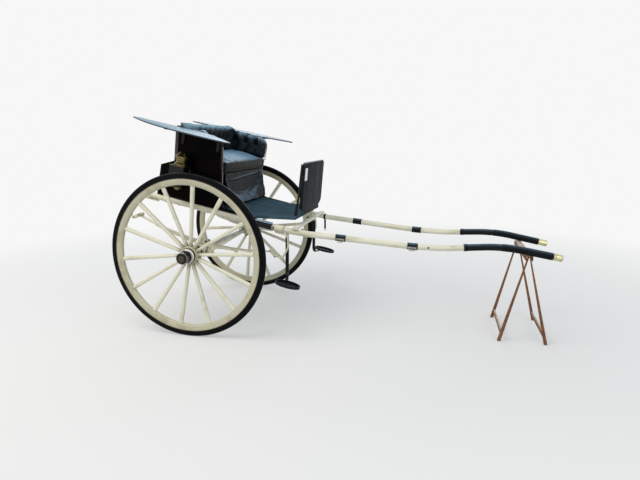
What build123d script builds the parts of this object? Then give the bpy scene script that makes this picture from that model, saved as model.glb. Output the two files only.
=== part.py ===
from build123d import *
from math import atan, cos, degrees, radians, sin, sqrt, tan
import os

os.makedirs("parts", exist_ok=True)

# A two-wheeled driving gig, parked nose down with its shafts on a steel trestle.
# Millimetres, +X forward, +Y to the carriage's left, +Z up, the ground at Z = 0.
# The carriage is drawn level about its axle's centre and then tipped by NOSE_DOWN.
# In that level frame a place is (forward, left, up) from the axle's centre.

# Stance
NOSE_DOWN = 12.4
WHEEL_R = 685.0
TRACK = 1528.0
RUN_FIT = 0.05
SEAT_GAP = 0.3

# Wheel, where the axial sizes run outward from the plane of the rim
TYRE_DEPTH = 46.0
# Tread flats as (below the crown, share of the half width)
TYRE_CROWN = ((13.0, 1.0), (5.0, 0.84), (1.3, 0.55), (0.0, 0.2))
CHANNEL_W = 43.0
CHANNEL_T = 3.5
CHANNEL_LIP = 12.0
FELLOE_DEPTH = 50.0
FELLOE_W = 38.0
FELLOE_ROUND = 9.0
SPOKES = 14
SPOKE_PHASE = 4.6
DISH = 60.0
SPOKE_FOOT = (22.0, 40.0)
SPOKE_HEAD = (35.0, 27.0)
SPOKE_ROUND = 0.28
SPOKE_ROOT = 52.0
NAVE_R = 75.0
NAVE_END_R = 58.0
NAVE_IN = 95.0
NAVE_OUT = 66.0
NAVE_WAIST = 22.0
NAVE_SWELL = 3.0
NAVE_NECK = 20.0
BAND_W = 12.0
BAND_T = 6.0
CAP_R = 47.0
CAP_LIP_R = 43.0
CAP_LENGTH = 88.0
CAP_RING = 6.0
DISC_R = 26.0
DISC_T = 5.0

# Axle
AXLE_BAR = 36.0
AXLE_EDGE = 5.0
ARM_R = 20.0
ARM_END = 30.0
COLLAR_R = 46.0
COLLAR_W = 14.0

# Poles: one sill under each side of the body and one shaft ahead of it
POLE_R = 25.0
WHEEL_ROOM = 274.0
POLE_Y = TRACK / 2 - WHEEL_ROOM
POLE_UP = 358.0
SILL_BACK = -575.0
SILL_FRONT = 583.0
SOCKET_BACK = 440.0
SOCKET_T = 3.0
SHAFT_TOE_IN = 4.86
# Shaft corners as (ahead of the heel, above the sill's centre line)
SHAFT_CORNERS = ((0.0, 0.0), (255.0, 8.0), (1165.0, 122.0), (1415.0, 172.0), (1840.0, 292.0),
                 (2291.0, 307.0))
SHAFT_BENDS = (1500.0, 1500.0, 1200.0, 1200.0)
SLEEVE_START = 1565.0
SLEEVE_T = 2.0
TIP_LENGTH = 72.0
# Leather bands round each shaft as distances ahead of the heel
BANDS = (537.0, 1121.0)
BAND_LENGTH = 84.0
BAND_LEATHER = 3.0
STAPLE_R = 4.0
STAPLE_LENGTH = 52.0
STAPLE_REACH = 20.0
STRAP_AT = 232.0
STRAP_W = 18.0
STRAP_T = 3.0
STRAP_DROP = 96.0

# Crossbar on the shafts, ahead of the dashboard
CROSSBAR_X = 780.0
CROSSBAR_W = 42.0
CROSSBAR_H = 18.0
CROSSBAR_OVER = 22.0

# Springs and their irons
SPRING_W = 45.0
LEAF_T = 6.5
SPRING_SAG = 82.0
EYE_X = 618.0
EYE_UP = 164.0
EYE_R = 15.0
EYE_PIN_R = 8.2
LEAVES = (1.0, 0.74, 0.5, 0.28)
SHACKLE_DROP = 34.0
SHACKLE_LEAN = 48.0
SHACKLE_T = 7.0
SHACKLE_W = 26.0
IRON_R = 8.0
IRON_EYE_R = 14.0
SADDLE_L = 96.0
CLIP_PLATE = 9.0
CLIP_BOLT_R = 6.0

# Body
PANEL_T = 20.0
BODY_BACK = -488.0
BODY_FRONT = 425.0
PANEL_BACK = -372.0
PANEL_FRONT = 74.0
PANEL_TOP = 955.0
PANEL_TOP_FRONT = 32.0
PANEL_ROUND = 36.0
# Hollow curve from the seat side's front edge down to the floor
SWEEP_X = 105.0
SWEEP_R = 85.0
SWEEP_LIP = 3.0
BOOT_DROP = 27.0
BOOT_SLOPE = 26.0
BOARD_T = 16.0
FLOOR_T = 20.0
SEAT_UP = 672.0
SEAT_BOARD_T = 18.0
TOE_END_X = 745.0
TOE_END_UP = 470.0
TOE_T = 28.0
TOE_INSET = 70.0

BACK_T = 14.0
BACK_LEAN = 34.0
BACK_SHORT = 46.0
BACK_LIFT = 2.0

# Seat padding
CUSHION_T = 100.0
CUSHION_ROUND = 18.0
CUSHION_INSET = 16.0
CUSHION_FRONT = 96.0
CUSHION_BACK = -350.0
BACK_TOP = 1024.0
ARM_TOP = 1004.0
BACK_PAD = 62.0
ARM_PAD = 62.0
BACK_CORNER = 90.0
ARM_SLOPE = 92.0
ARM_ROUND = 110.0
ARM_FRONT = 102.0
FALL_INSET = 50.0
FALL_T = 4.0
FALL_FOOT_X = 172.0
FALL_SWELL = 12.0
FALL_CLEAR = 30.0

# Dashboard
DASH_INSET = 145.0
DASH_FOOT_X = 752.0
DASH_FOOT_UP = 500.0
DASH_TOP_X = 698.0
DASH_TOP_UP = 920.0
DASH_T = 22.0
DASH_ROUND = 40.0
# The lower edge is one shallow curve from side to side
DASH_SIDE_FOOT = 42.0
DASH_BELLY = 28.0
DASH_IRON_R = 8.0
DASH_IRON_SHORT = 110.0

# Wings over the wheels
WING_GAP = 12.0
# Wing's edge as (ahead of the axle, out from its inner edge): straights and three-point curves
WING_EDGE = ((-735.0, 0.0), (-130.0, 0.0), (30.0, 120.0), (205.0, 292.0), (236.0, 338.0), (190.0, 378.0),
             (-30.0, 374.0), (-480.0, 262.0), (-745.0, 62.0), (-775.0, 18.0), (-735.0, 0.0))
WING_UP = 980.0
WING_T = 9.0
WING_IRONS = (-330.0, -10.0)
WING_IRON_W = 26.0
WING_IRON_T = 7.0
WING_IRON_DROP = 120.0
WING_IRON_KNEE = 40.0
WING_IRON_SHORT = 70.0

# Lamps
LAMP_X = -262.0
LAMP_OUT = 98.0
LAMP_SIZE = 128.0
LAMP_FOOT = 512.0
LAMP_HEAD = 690.0
LAMP_WALL = 4.0
LAMP_BAR = 16.0
LAMP_LAP = 12.0
LAMP_ARM = (70.0, 90.0)
# Chimney's outline as (radius, above the case)
CHIMNEY = ((0.0, 0.0), (50.0, 0.0), (50.0, 14.0), (38.0, 26.0), (38.0, 58.0), (50.0, 64.0),
           (50.0, 76.0), (34.0, 92.0), (20.0, 108.0), (10.0, 112.0), (0.0, 112.0))
TAIL_R = 23.0
TAIL_H = 28.0
LAMP_GLASS_T = 3.0

# Steps
STEP_X = 858.0
STEP_OUT = 188.0
STEP_UP = -34.0
STEP_LONG = 210.0
STEP_WIDE = 132.0
STEP_RIM = 10.0
STEP_RIM_H = 22.0
STEP_PLATE = 6.0
STEP_BAR = (28.0, 9.0)
STEP_BAR_INSET = 24.0
STEP_HEAD_X = 716.0
STEP_HEAD_DROP = 23.0
STEP_KNEE_X = 790.0
STEP_BEND = 60.0

# Trestle, in the parked frame, placed ahead of the axle
TRESTLE_X = 2702.0
TRESTLE_NARROW = 160.0
TRESTLE_BEAM_W = 52.0
TRESTLE_BEAM_H = 40.0
TRESTLE_WALL = 5.0
TRESTLE_FOOT_X = 180.0
TRESTLE_FOOT_IN = 42.0
TRESTLE_LEG = 26.0
TRESTLE_HEAD_X = 5.0
TRESTLE_INSET = 24.0
TRESTLE_RAIL_UP = 66.0
RAIL_SIZE = (14.0, 30.0)

# Worked out from the sizes above
HEEL_X = SILL_FRONT + POLE_R * sin(radians(SHAFT_TOE_IN)) + SEAT_GAP
SHAFT_END = SHAFT_CORNERS[-1][0]
TIP_X = HEEL_X + SHAFT_END * cos(radians(SHAFT_TOE_IN))
TIP_UP = POLE_UP + SHAFT_CORNERS[-1][1]
TIP_REACH = TIP_X * cos(radians(NOSE_DOWN)) + (TIP_UP + POLE_R) * sin(radians(NOSE_DOWN))
AXLE_X = (WHEEL_R - TIP_REACH) / 2
TOE_HALF = POLE_Y - TOE_INSET
CUSHION_HALF = POLE_Y - CUSHION_INSET
FALL_HALF = POLE_Y - FALL_INSET
DASH_HALF = POLE_Y - DASH_INSET
WING_IN = POLE_Y + WING_GAP
WING_OUT = WING_IN + max(out for x, out in WING_EDGE)
LAMP_Y = POLE_Y + LAMP_OUT
STEP_Y = POLE_Y + STEP_OUT
STEP_BAR_Y = POLE_Y - STEP_BAR_INSET
TRESTLE_HALF = POLE_Y - TRESTLE_NARROW
TRESTLE_FOOT_Y = TRESTLE_HALF - TRESTLE_FOOT_IN
RIM_R = WHEEL_R - TYRE_DEPTH - CHANNEL_T - SEAT_GAP
NAVE_Y = TRACK / 2 - DISH
BODY_HALF = POLE_Y + PANEL_T / 2
BODY_FOOT = POLE_UP + POLE_R + SEAT_GAP
FLOOR_UP = BODY_FOOT + FLOOR_T
BOOT_TOP = SEAT_UP - BOOT_DROP
PARKED = Location((AXLE_X, 0, WHEEL_R), (0, NOSE_DOWN, 0))
GROUND = Location((AXLE_X, 0, 0))
SIDES = (("right", -1), ("left", 1))


def keep(piece, name, place=PARKED):
    piece.part = piece.part.moved(place)
    piece.part.label = name
    export_step(piece.part, f"parts/{name}.step")


def along(wire, start, stop):
    # The stretch of a wire between two distances from its start
    return wire.trim(start / wire.length, stop / wire.length)


def side_plane(y):
    # A drawing plane along the carriage: its X is forward and its Y is up
    return Plane(origin=(0, y, 0), x_dir=(1, 0, 0), z_dir=(0, -1, 0))


def wheel_place(side):
    # The wheel is drawn with its axis along Z, outboard, and its rim's middle at Z = 0
    hub = Plane(origin=(AXLE_X, side * TRACK / 2, WHEEL_R), x_dir=(1, 0, 0), z_dir=(0, side, 0))
    return hub.location


# Wheels
for hand, side in SIDES:
    place = wheel_place(side)

    with BuildPart() as tyre:
        with BuildSketch(Plane.XZ) as tyre_profile:
            base = RIM_R + CHANNEL_T + SEAT_GAP
            half = CHANNEL_W / 2 - CHANNEL_T - SEAT_GAP
            crown = [(WHEEL_R - drop, half * share) for drop, share in TYRE_CROWN]
            back = [(r, -across) for r, across in reversed(crown)]
            with BuildLine():
                Polyline((base, -half), (base, half), *crown, *back, (base, -half))
            make_face()
        revolve(axis=Axis.Z)
    keep(tyre, f"{hand}_wheel_tyre", place)

    with BuildPart() as channel:
        with BuildSketch(Plane.XZ) as channel_profile:
            with Locations((RIM_R + (CHANNEL_T + CHANNEL_LIP) / 2, 0)):
                Rectangle(CHANNEL_T + CHANNEL_LIP, CHANNEL_W)
            with Locations((RIM_R + CHANNEL_T + CHANNEL_LIP / 2, 0)):
                Rectangle(CHANNEL_LIP, CHANNEL_W - 2 * CHANNEL_T, mode=Mode.SUBTRACT)
        revolve(axis=Axis.Z)
    keep(channel, f"{hand}_wheel_channel", place)

    felloe_out = RIM_R - SEAT_GAP
    felloe_in = felloe_out - FELLOE_DEPTH
    with BuildPart() as felloe:
        with BuildSketch(Plane.XZ) as felloe_profile:
            with Locations(((felloe_out + felloe_in) / 2, 0)):
                Rectangle(FELLOE_DEPTH, FELLOE_W)
            chamfer(felloe_profile.vertices().group_by(Axis.X)[0], FELLOE_ROUND)
        revolve(axis=Axis.Z)
    keep(felloe, f"{hand}_wheel_felloe", place)

    # The nave is turned about the axle, with the spokes' feet let into its fullest part
    nave_back = -DISH - NAVE_IN
    nave_front = -DISH + NAVE_OUT
    front_hoop = nave_front - NAVE_NECK - BAND_W
    with BuildPart() as spokes:
        with BuildSketch(Plane.XZ):
            with BuildLine():
                swell_r = (NAVE_END_R + NAVE_R) / 2 + NAVE_SWELL
                Polyline((0, nave_back), (NAVE_END_R, nave_back), (NAVE_END_R, nave_back + BAND_W))
                ThreePointArc((NAVE_END_R, nave_back + BAND_W),
                              (swell_r, (nave_back + BAND_W - DISH - NAVE_WAIST) / 2),
                              (NAVE_R, -DISH - NAVE_WAIST))
                Line((NAVE_R, -DISH - NAVE_WAIST), (NAVE_R, -DISH + NAVE_WAIST))
                ThreePointArc((NAVE_R, -DISH + NAVE_WAIST),
                              (swell_r, (front_hoop - DISH + NAVE_WAIST) / 2),
                              (NAVE_END_R, front_hoop))
                Polyline((NAVE_END_R, front_hoop), (NAVE_END_R, nave_front), (0, nave_front), (0, nave_back))
            make_face()
        revolve(axis=Axis.Z)
        for spoke in range(SPOKES):
            angle = radians(360 * spoke / SPOKES - side * SPOKE_PHASE)
            out, across = Vector(cos(angle), sin(angle), 0), Vector(-sin(angle), cos(angle), 0)
            with BuildSketch(Plane(origin=out * SPOKE_ROOT - Vector(0, 0, DISH), x_dir=across, z_dir=out)):
                foot = Rectangle(*SPOKE_FOOT)
                chamfer(foot.vertices(), SPOKE_FOOT[0] * SPOKE_ROUND)
            with BuildSketch(Plane(origin=out * (felloe_in + FELLOE_ROUND), x_dir=across, z_dir=out)):
                head = Rectangle(*SPOKE_HEAD)
                chamfer(head.vertices(), SPOKE_HEAD[1] * SPOKE_ROUND)
            loft(ruled=True)
        with BuildSketch(Plane.XY.offset(-FELLOE_W)):
            Circle(felloe_out)
            Circle(felloe_in - SEAT_GAP, mode=Mode.SUBTRACT)
        extrude(amount=2 * FELLOE_W, mode=Mode.SUBTRACT)
        with BuildSketch(Plane.XY.offset(nave_back)):
            Circle(ARM_R + RUN_FIT)
        extrude(amount=NAVE_IN + ARM_END, mode=Mode.SUBTRACT)
    keep(spokes, f"{hand}_wheel_spokes", place)

    # Two iron hoops bind the nave's ends
    with BuildPart() as hoops:
        for hoop_at in (nave_back, front_hoop):
            with BuildSketch(Plane.XY.offset(hoop_at)):
                Circle(NAVE_END_R + SEAT_GAP + BAND_T)
                Circle(NAVE_END_R + SEAT_GAP, mode=Mode.SUBTRACT)
            extrude(amount=BAND_W)
    keep(hoops, f"{hand}_wheel_hoops", place)

    cap_foot = nave_front + SEAT_GAP
    with BuildPart() as cap:
        with BuildSketch(Plane.XZ):
            with BuildLine():
                Polyline((0, cap_foot), (CAP_R + CAP_RING, cap_foot),
                         (CAP_R + CAP_RING, cap_foot + 2 * CAP_RING), (CAP_R, cap_foot + 2 * CAP_RING),
                         (CAP_R, cap_foot + CAP_LENGTH - CAP_RING),
                         (CAP_LIP_R, cap_foot + CAP_LENGTH), (DISC_R + SEAT_GAP, cap_foot + CAP_LENGTH),
                         (DISC_R + SEAT_GAP, cap_foot + CAP_LENGTH - DISC_T),
                         (0, cap_foot + CAP_LENGTH - DISC_T), (0, cap_foot))
            make_face()
        revolve(axis=Axis.Z)
    keep(cap, f"{hand}_wheel_cap", place)

    with BuildPart() as disc:
        with BuildSketch(Plane.XY.offset(cap_foot + CAP_LENGTH - DISC_T + SEAT_GAP)):
            Circle(DISC_R)
        extrude(amount=DISC_T)
    keep(disc, f"{hand}_wheel_disc", place)

# Axle: a square bar with a collar and a round arm at each end
collar_out = NAVE_Y - NAVE_IN - SEAT_GAP
with BuildPart() as axle:
    with BuildSketch(Plane.XZ.offset(-collar_out)) as bar_section:
        Rectangle(AXLE_BAR, AXLE_BAR)
        chamfer(bar_section.vertices(), AXLE_EDGE)
    extrude(amount=2 * collar_out)
    for hand, side in SIDES:
        collar_plane = Plane(origin=(0, side * (collar_out - COLLAR_W), 0), z_dir=(0, side, 0))
        with BuildSketch(collar_plane):
            Circle(COLLAR_R)
        extrude(amount=COLLAR_W)
        with BuildSketch(collar_plane):
            Circle(ARM_R)
        extrude(amount=COLLAR_W + NAVE_IN + ARM_END - SEAT_GAP)
keep(axle, "axle")

# Springs: stepped leaves bent to one centre, with the top leaf rolled into an eye at each end
# The leaf runs into the underside of its eye
arc_r = (EYE_X**2 + SPRING_SAG**2) / (2 * SPRING_SAG)
leaf_top = EYE_UP - EYE_R + LEAF_T - SPRING_SAG
arc_up = leaf_top + arc_r
clip_half = SPRING_W / 2 + 2 * CLIP_BOLT_R + 2
for hand, side in SIDES:
    pole_y = side * POLE_Y

    with BuildPart() as spring:
        with BuildSketch(side_plane(pole_y - SPRING_W / 2)) as spring_profile:
            for step, share in enumerate(LEAVES):
                inner = arc_r + step * LEAF_T
                outer = inner + LEAF_T
                reach = EYE_X * share
                with BuildLine():
                    ends = [(r, x, arc_up - sqrt(r**2 - x**2))
                            for r in (inner, outer) for x in (-reach, reach)]
                    ThreePointArc(ends[0][1:], (0, arc_up - inner), ends[1][1:])
                    ThreePointArc(ends[2][1:], (0, arc_up - outer), ends[3][1:])
                    Line(ends[0][1:], ends[2][1:])
                    Line(ends[1][1:], ends[3][1:])
                make_face()
            with Locations((-EYE_X, EYE_UP), (EYE_X, EYE_UP)):
                Circle(EYE_R)
                Circle(EYE_R - LEAF_T, mode=Mode.SUBTRACT)
        extrude(amount=-SPRING_W)
    keep(spring, f"{hand}_spring")

# Saddles and clips hold the springs on the axle
stack = len(LEAVES) * LEAF_T
leaf_rise = (SADDLE_L / 2)**2 / (2 * arc_r)
with BuildPart() as clips:
    for hand, side in SIDES:
        y = side * POLE_Y
        saddle_foot = AXLE_BAR / 2 + SEAT_GAP
        saddle_head = leaf_top - stack - SEAT_GAP
        with BuildSketch(Plane.XY.offset(saddle_foot)):
            with Locations((0, y)):
                Rectangle(SADDLE_L * 0.62, SPRING_W)
        extrude(amount=saddle_head - saddle_foot)
        for foot in (saddle_head - CLIP_PLATE, leaf_top + leaf_rise + SEAT_GAP,
                     -AXLE_BAR / 2 - SEAT_GAP - CLIP_PLATE):
            with BuildSketch(Plane.XY.offset(foot)):
                with Locations((0, y)):
                    Rectangle(SADDLE_L, 2 * clip_half)
            extrude(amount=CLIP_PLATE)
        with BuildSketch(Plane.XY.offset(-AXLE_BAR / 2 - 2 * CLIP_PLATE)):
            with Locations((0, y)):
                with GridLocations(SADDLE_L - 3 * CLIP_BOLT_R, 2 * clip_half - 2 * CLIP_BOLT_R, 2, 2):
                    RegularPolygon(CLIP_BOLT_R, 6)
        extrude(amount=leaf_top + AXLE_BAR / 2 + 4 * CLIP_PLATE)
keep(clips, "spring_clips")

# Shackles: two cheeks and two pins join each spring eye to the iron's eye below it
iron_eye_x = EYE_X + SHACKLE_LEAN
iron_eye_up = EYE_UP - SHACKLE_DROP
cheek_in = SPRING_W / 2 + SEAT_GAP
with BuildPart() as shackles:
    for hand, side in SIDES:
        for end in (-1, 1):
            pins = ((end * EYE_X, EYE_UP), (end * iron_eye_x, iron_eye_up))
            for cheek in (-1, 1):
                cheek_y = side * POLE_Y + cheek * (cheek_in + SHACKLE_T / 2) + SHACKLE_T / 2
                with BuildSketch(side_plane(cheek_y)):
                    with Locations(((pins[0][0] + pins[1][0]) / 2, (pins[0][1] + pins[1][1]) / 2)):
                        SlotCenterToCenter(sqrt(SHACKLE_DROP**2 + SHACKLE_LEAN**2), SHACKLE_W,
                                           rotation=end * degrees(atan(-SHACKLE_DROP / SHACKLE_LEAN)))
                extrude(amount=SHACKLE_T)
            with BuildSketch(side_plane(side * POLE_Y + cheek_in + SHACKLE_T)):
                with Locations(*pins):
                    Circle(EYE_PIN_R)
            extrude(amount=2 * (cheek_in + SHACKLE_T))
keep(shackles, "shackles")

# Scroll irons: bent rods that hang the springs from the sills' rear ends and the shafts' heels
# Corners as (beyond the spring eye, up), with the bends' radii
iron_up = POLE_UP - POLE_R - IRON_R - SEAT_GAP
iron_foot = (SHACKLE_LEAN, iron_eye_up)
scrolls = (
    ("rear_scroll_irons", -1,
     ((-150, iron_up), (10, iron_up), (96, 212), (88, 78), iron_foot), (55, 70, 20)),
    ("front_scroll_irons", 1,
     ((0, iron_up), (112, iron_up), (136, 222), (104, 112), iron_foot), (40, 60, 24)),
)
for name, end, corners, bends in scrolls:
    with BuildPart() as irons:
        for hand, side in SIDES:
            plane = side_plane(side * POLE_Y)
            spots = [(end * (EYE_X + x), up) for x, up in corners]
            with BuildLine(plane) as route:
                FilletPolyline(*spots, radius=list(bends))
            with BuildSketch(Plane(origin=route.line @ 0, z_dir=route.line % 0)):
                RegularPolygon(IRON_R, 8)
            sweep(path=route.line)
            with BuildSketch(side_plane(side * POLE_Y - SPRING_W / 2)):
                with Locations((end * iron_eye_x, iron_eye_up)):
                    Circle(IRON_EYE_R)
            extrude(amount=-SPRING_W)
            with BuildSketch(side_plane(side * POLE_Y - SPRING_W / 2)):
                with Locations((end * iron_eye_x, iron_eye_up)):
                    Circle(EYE_PIN_R + SEAT_GAP)
            extrude(amount=-SPRING_W, mode=Mode.SUBTRACT)
    keep(irons, name)

# Sills, with a steel socket on each that takes the shaft's heel
with BuildPart() as sills:
    for hand, side in SIDES:
        with BuildSketch(Plane.YZ.offset(SILL_BACK)):
            with Locations((side * POLE_Y, POLE_UP)):
                Circle(POLE_R)
        extrude(amount=SILL_FRONT - SILL_BACK)
    chamfer(sills.edges().group_by(Axis.X)[0], POLE_R * 0.35)
keep(sills, "sills")

with BuildPart() as sockets:
    for hand, side in SIDES:
        with BuildSketch(Plane.YZ.offset(SOCKET_BACK)):
            with Locations((side * POLE_Y, POLE_UP)):
                Circle(POLE_R + SEAT_GAP + SOCKET_T)
                Circle(POLE_R + SEAT_GAP, mode=Mode.SUBTRACT)
        extrude(amount=SILL_FRONT - SOCKET_BACK)
keep(sockets, "shaft_sockets")

# Shafts: round poles bent upward, each drawn along its centre line from heel to tip
toe = radians(SHAFT_TOE_IN)


def shaft_run(side):
    plane = Plane(origin=(HEEL_X, side * POLE_Y, POLE_UP), x_dir=(cos(toe), -side * sin(toe), 0),
                  z_dir=(-side * sin(toe), -cos(toe), 0))
    with BuildLine(plane) as line:
        FilletPolyline(*SHAFT_CORNERS, radius=list(SHAFT_BENDS))
    return line.wire()


def tube(wire, inner, outer):
    # A round tube that follows a wire
    with BuildSketch(Plane(origin=wire @ 0, z_dir=wire % 0)) as ring:
        Circle(outer)
        Circle(inner, mode=Mode.SUBTRACT)
    sweep(sections=ring.sketch, path=wire)


RUNS = [(hand, side, shaft_run(side)) for hand, side in SIDES]
run_length = RUNS[0][2].length
wrap_in = POLE_R + SEAT_GAP
for hand, side, run in RUNS:
    with BuildPart() as shaft:
        with BuildSketch(Plane(origin=run @ 0, z_dir=run % 0)):
            Circle(POLE_R)
        sweep(path=along(run, 0, run_length - TIP_LENGTH / 2))
    keep(shaft, f"{hand}_shaft")

# Leather covers each shaft's front, and a closed brass ferrule its end
with BuildPart() as leathers:
    for hand, side, run in RUNS:
        tube(along(run, SLEEVE_START, run_length - TIP_LENGTH), wrap_in, wrap_in + SLEEVE_T)
keep(leathers, "shaft_leathers")

with BuildPart() as ferrules:
    for hand, side, run in RUNS:
        brass = along(run, run_length - TIP_LENGTH + SEAT_GAP, run_length)
        with BuildSketch(Plane(origin=brass @ 0, z_dir=brass % 0)):
            Circle(wrap_in + SLEEVE_T)
        extrude(amount=TIP_LENGTH)
        rims = ferrules.edges().filter_by(GeomType.CIRCLE).sort_by_distance(brass @ 1)
        chamfer(rims[0], POLE_R * 0.3)
        with BuildSketch(Plane(origin=brass @ 0, z_dir=brass % 0)):
            Circle(wrap_in)
        extrude(amount=TIP_LENGTH / 2, mode=Mode.SUBTRACT)
keep(ferrules, "shaft_tips")

# Leather bands carry a steel staple each, on the shaft's outer lower side
with BuildPart() as bands:
    for hand, side, run in RUNS:
        for start in BANDS:
            tube(along(run, start, start + BAND_LENGTH), wrap_in, wrap_in + BAND_LEATHER)
keep(bands, "shaft_bands")

with BuildPart() as staples:
    for hand, side, run in RUNS:
        for start in BANDS:
            share = (start + BAND_LENGTH / 2) / run_length
            outward = Vector(0, side, -0.7).normalized()
            root = run @ share + outward * (wrap_in + BAND_LEATHER + 3 * SEAT_GAP)
            reach = outward * STAPLE_REACH
            half = (run % share) * (STAPLE_LENGTH / 2)
            with BuildLine() as bow:
                Polyline(root - half, root - half + reach * 0.5, root - half * 0.6 + reach,
                         root + half * 0.6 + reach, root + half + reach * 0.5, root + half)
            with BuildSketch(Plane(origin=bow.line @ 0, z_dir=bow.line % 0)):
                RegularPolygon(STAPLE_R, 6)
            sweep(path=bow.line, transition=Transition.RIGHT)
keep(staples, "shaft_staples")

# A short strap looped round the left shaft hangs straight down as the gig is parked
hanging = Vector(sin(radians(NOSE_DOWN)), 0, -cos(radians(NOSE_DOWN)))
with BuildPart() as strap:
    hand, side, run = RUNS[-1]
    tube(along(run, STRAP_AT, STRAP_AT + STRAP_W), wrap_in, wrap_in + STRAP_T)
    strap_head = run @ ((STRAP_AT + STRAP_W / 2) / run_length) + hanging * (wrap_in + STRAP_T)
    with BuildSketch(Plane(origin=strap_head, x_dir=(0, 1, 0), z_dir=hanging)):
        Rectangle(STRAP_T, STRAP_W)
    extrude(amount=STRAP_DROP)
keep(strap, "hanging_strap")

# Crossbar: a moulded wooden bar lying across both shafts
shaft_climb = SHAFT_CORNERS[1][1] / SHAFT_CORNERS[1][0]
crossbar_foot = POLE_UP + POLE_R + shaft_climb * (CROSSBAR_X + CROSSBAR_W / 2 - HEEL_X) + SEAT_GAP
with BuildPart() as crossbar:
    with BuildSketch(side_plane(POLE_Y + CROSSBAR_OVER)) as crossbar_section:
        with Locations((CROSSBAR_X, crossbar_foot + CROSSBAR_H / 2)):
            Rectangle(CROSSBAR_W, CROSSBAR_H)
        fillet(crossbar_section.vertices().group_by(Axis.Y)[-1], CROSSBAR_H * 0.4)
    extrude(amount=2 * (POLE_Y + CROSSBAR_OVER))
keep(crossbar, "crossbar")

# Body sides stand on the sills: low by the driver's feet, high beside the seat
sweep_low = FLOOR_UP + SWEEP_LIP
sweep_cut = SWEEP_R * (1 - sin(radians(45)))
boot_rise = (PANEL_BACK - BODY_BACK) * tan(radians(BOOT_SLOPE))
back_slant = BACK_LEAN / (BACK_TOP - SEAT_UP)
panel_top_back = PANEL_BACK - back_slant * (PANEL_TOP - BOOT_TOP - boot_rise)
for hand, side in SIDES:
    with BuildPart() as panel:
        with BuildSketch(side_plane(side * POLE_Y + PANEL_T / 2)) as outline:
            with BuildLine():
                Polyline((BODY_BACK, BODY_FOOT), (BODY_BACK, BOOT_TOP), (PANEL_BACK, BOOT_TOP + boot_rise),
                         (panel_top_back, PANEL_TOP), (PANEL_TOP_FRONT, PANEL_TOP),
                         (SWEEP_X, sweep_low + SWEEP_R))
                ThreePointArc((SWEEP_X, sweep_low + SWEEP_R), (SWEEP_X + sweep_cut, sweep_low + sweep_cut),
                              (SWEEP_X + SWEEP_R, sweep_low))
                Polyline((SWEEP_X + SWEEP_R, sweep_low), (BODY_FRONT, sweep_low), (BODY_FRONT, BODY_FOOT),
                         (BODY_BACK, BODY_FOOT))
            make_face()
            top_front = outline.vertices().group_by(Axis.Y)[-1].sort_by(Axis.X)[-1]
            fillet(top_front, PANEL_ROUND)
        extrude(amount=PANEL_T)
    keep(panel, f"{hand}_side_panel")

body_in = POLE_Y - PANEL_T / 2 - SEAT_GAP


def board(name, length, thick, half, foot_at, slope=0.0):
    # A flat board across the carriage, from its lower rear edge at foot_at
    plane = Plane(origin=(foot_at[0], 0, foot_at[1]), x_dir=(cos(radians(slope)), 0, sin(radians(slope))),
                  z_dir=(-sin(radians(slope)), 0, cos(radians(slope))))
    with BuildPart() as piece:
        with BuildSketch(plane):
            with Locations((length / 2, 0)):
                Rectangle(length, 2 * half)
        extrude(amount=thick)
    keep(piece, name)


board("floor", BODY_FRONT - BODY_BACK - PANEL_T - SEAT_GAP, FLOOR_T, body_in,
      (BODY_BACK + PANEL_T + SEAT_GAP, FLOOR_UP - FLOOR_T))
board("rear_panel", BOOT_TOP - BODY_FOOT - PANEL_T, PANEL_T, body_in,
      (BODY_BACK + PANEL_T, BODY_FOOT), slope=90)
boot_long = (PANEL_BACK - BODY_BACK) / cos(radians(BOOT_SLOPE)) - BOARD_T / 4
board("boot_top", boot_long, BOARD_T, body_in, (BODY_BACK, BOOT_TOP - BOARD_T), slope=BOOT_SLOPE)
board("seat_board", PANEL_FRONT - PANEL_BACK, SEAT_BOARD_T, body_in, (PANEL_BACK, SEAT_UP))
board("seat_front", SEAT_UP - FLOOR_UP - 2 * SEAT_GAP, BOARD_T, body_in,
      (PANEL_FRONT - PANEL_T, FLOOR_UP + SEAT_GAP), slope=90)
toe_rise = degrees(atan((TOE_END_UP - FLOOR_UP) / (TOE_END_X - BODY_FRONT)))
toe_start = BODY_FRONT + SEAT_GAP + FLOOR_T * tan(radians(toe_rise))
board("toe_board", sqrt((TOE_END_X - BODY_FRONT)**2 + (TOE_END_UP - FLOOR_UP)**2), TOE_T, TOE_HALF,
      (toe_start, BODY_FOOT), slope=toe_rise)
back_foot = SEAT_UP + SEAT_BOARD_T + BACK_LIFT
board("back_panel", BACK_TOP - SEAT_UP - BACK_SHORT, BACK_T, body_in, (PANEL_BACK + BACK_T, back_foot),
      slope=90 + degrees(atan(back_slant)))

# Cushion, padded back with its arms, and the leather that falls from the seat
cushion_foot = SEAT_UP + SEAT_BOARD_T + SEAT_GAP
cushion_top = cushion_foot + CUSHION_T
with BuildPart() as cushion:
    with BuildSketch(Plane.XY.offset(cushion_foot)):
        with Locations(((CUSHION_FRONT + CUSHION_BACK) / 2, 0)):
            Rectangle(CUSHION_FRONT - CUSHION_BACK, 2 * CUSHION_HALF)
    extrude(amount=CUSHION_T)
    fillet(cushion.edges().filter_by(Axis.Y), CUSHION_ROUND)
keep(cushion, "seat_cushion")

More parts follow.
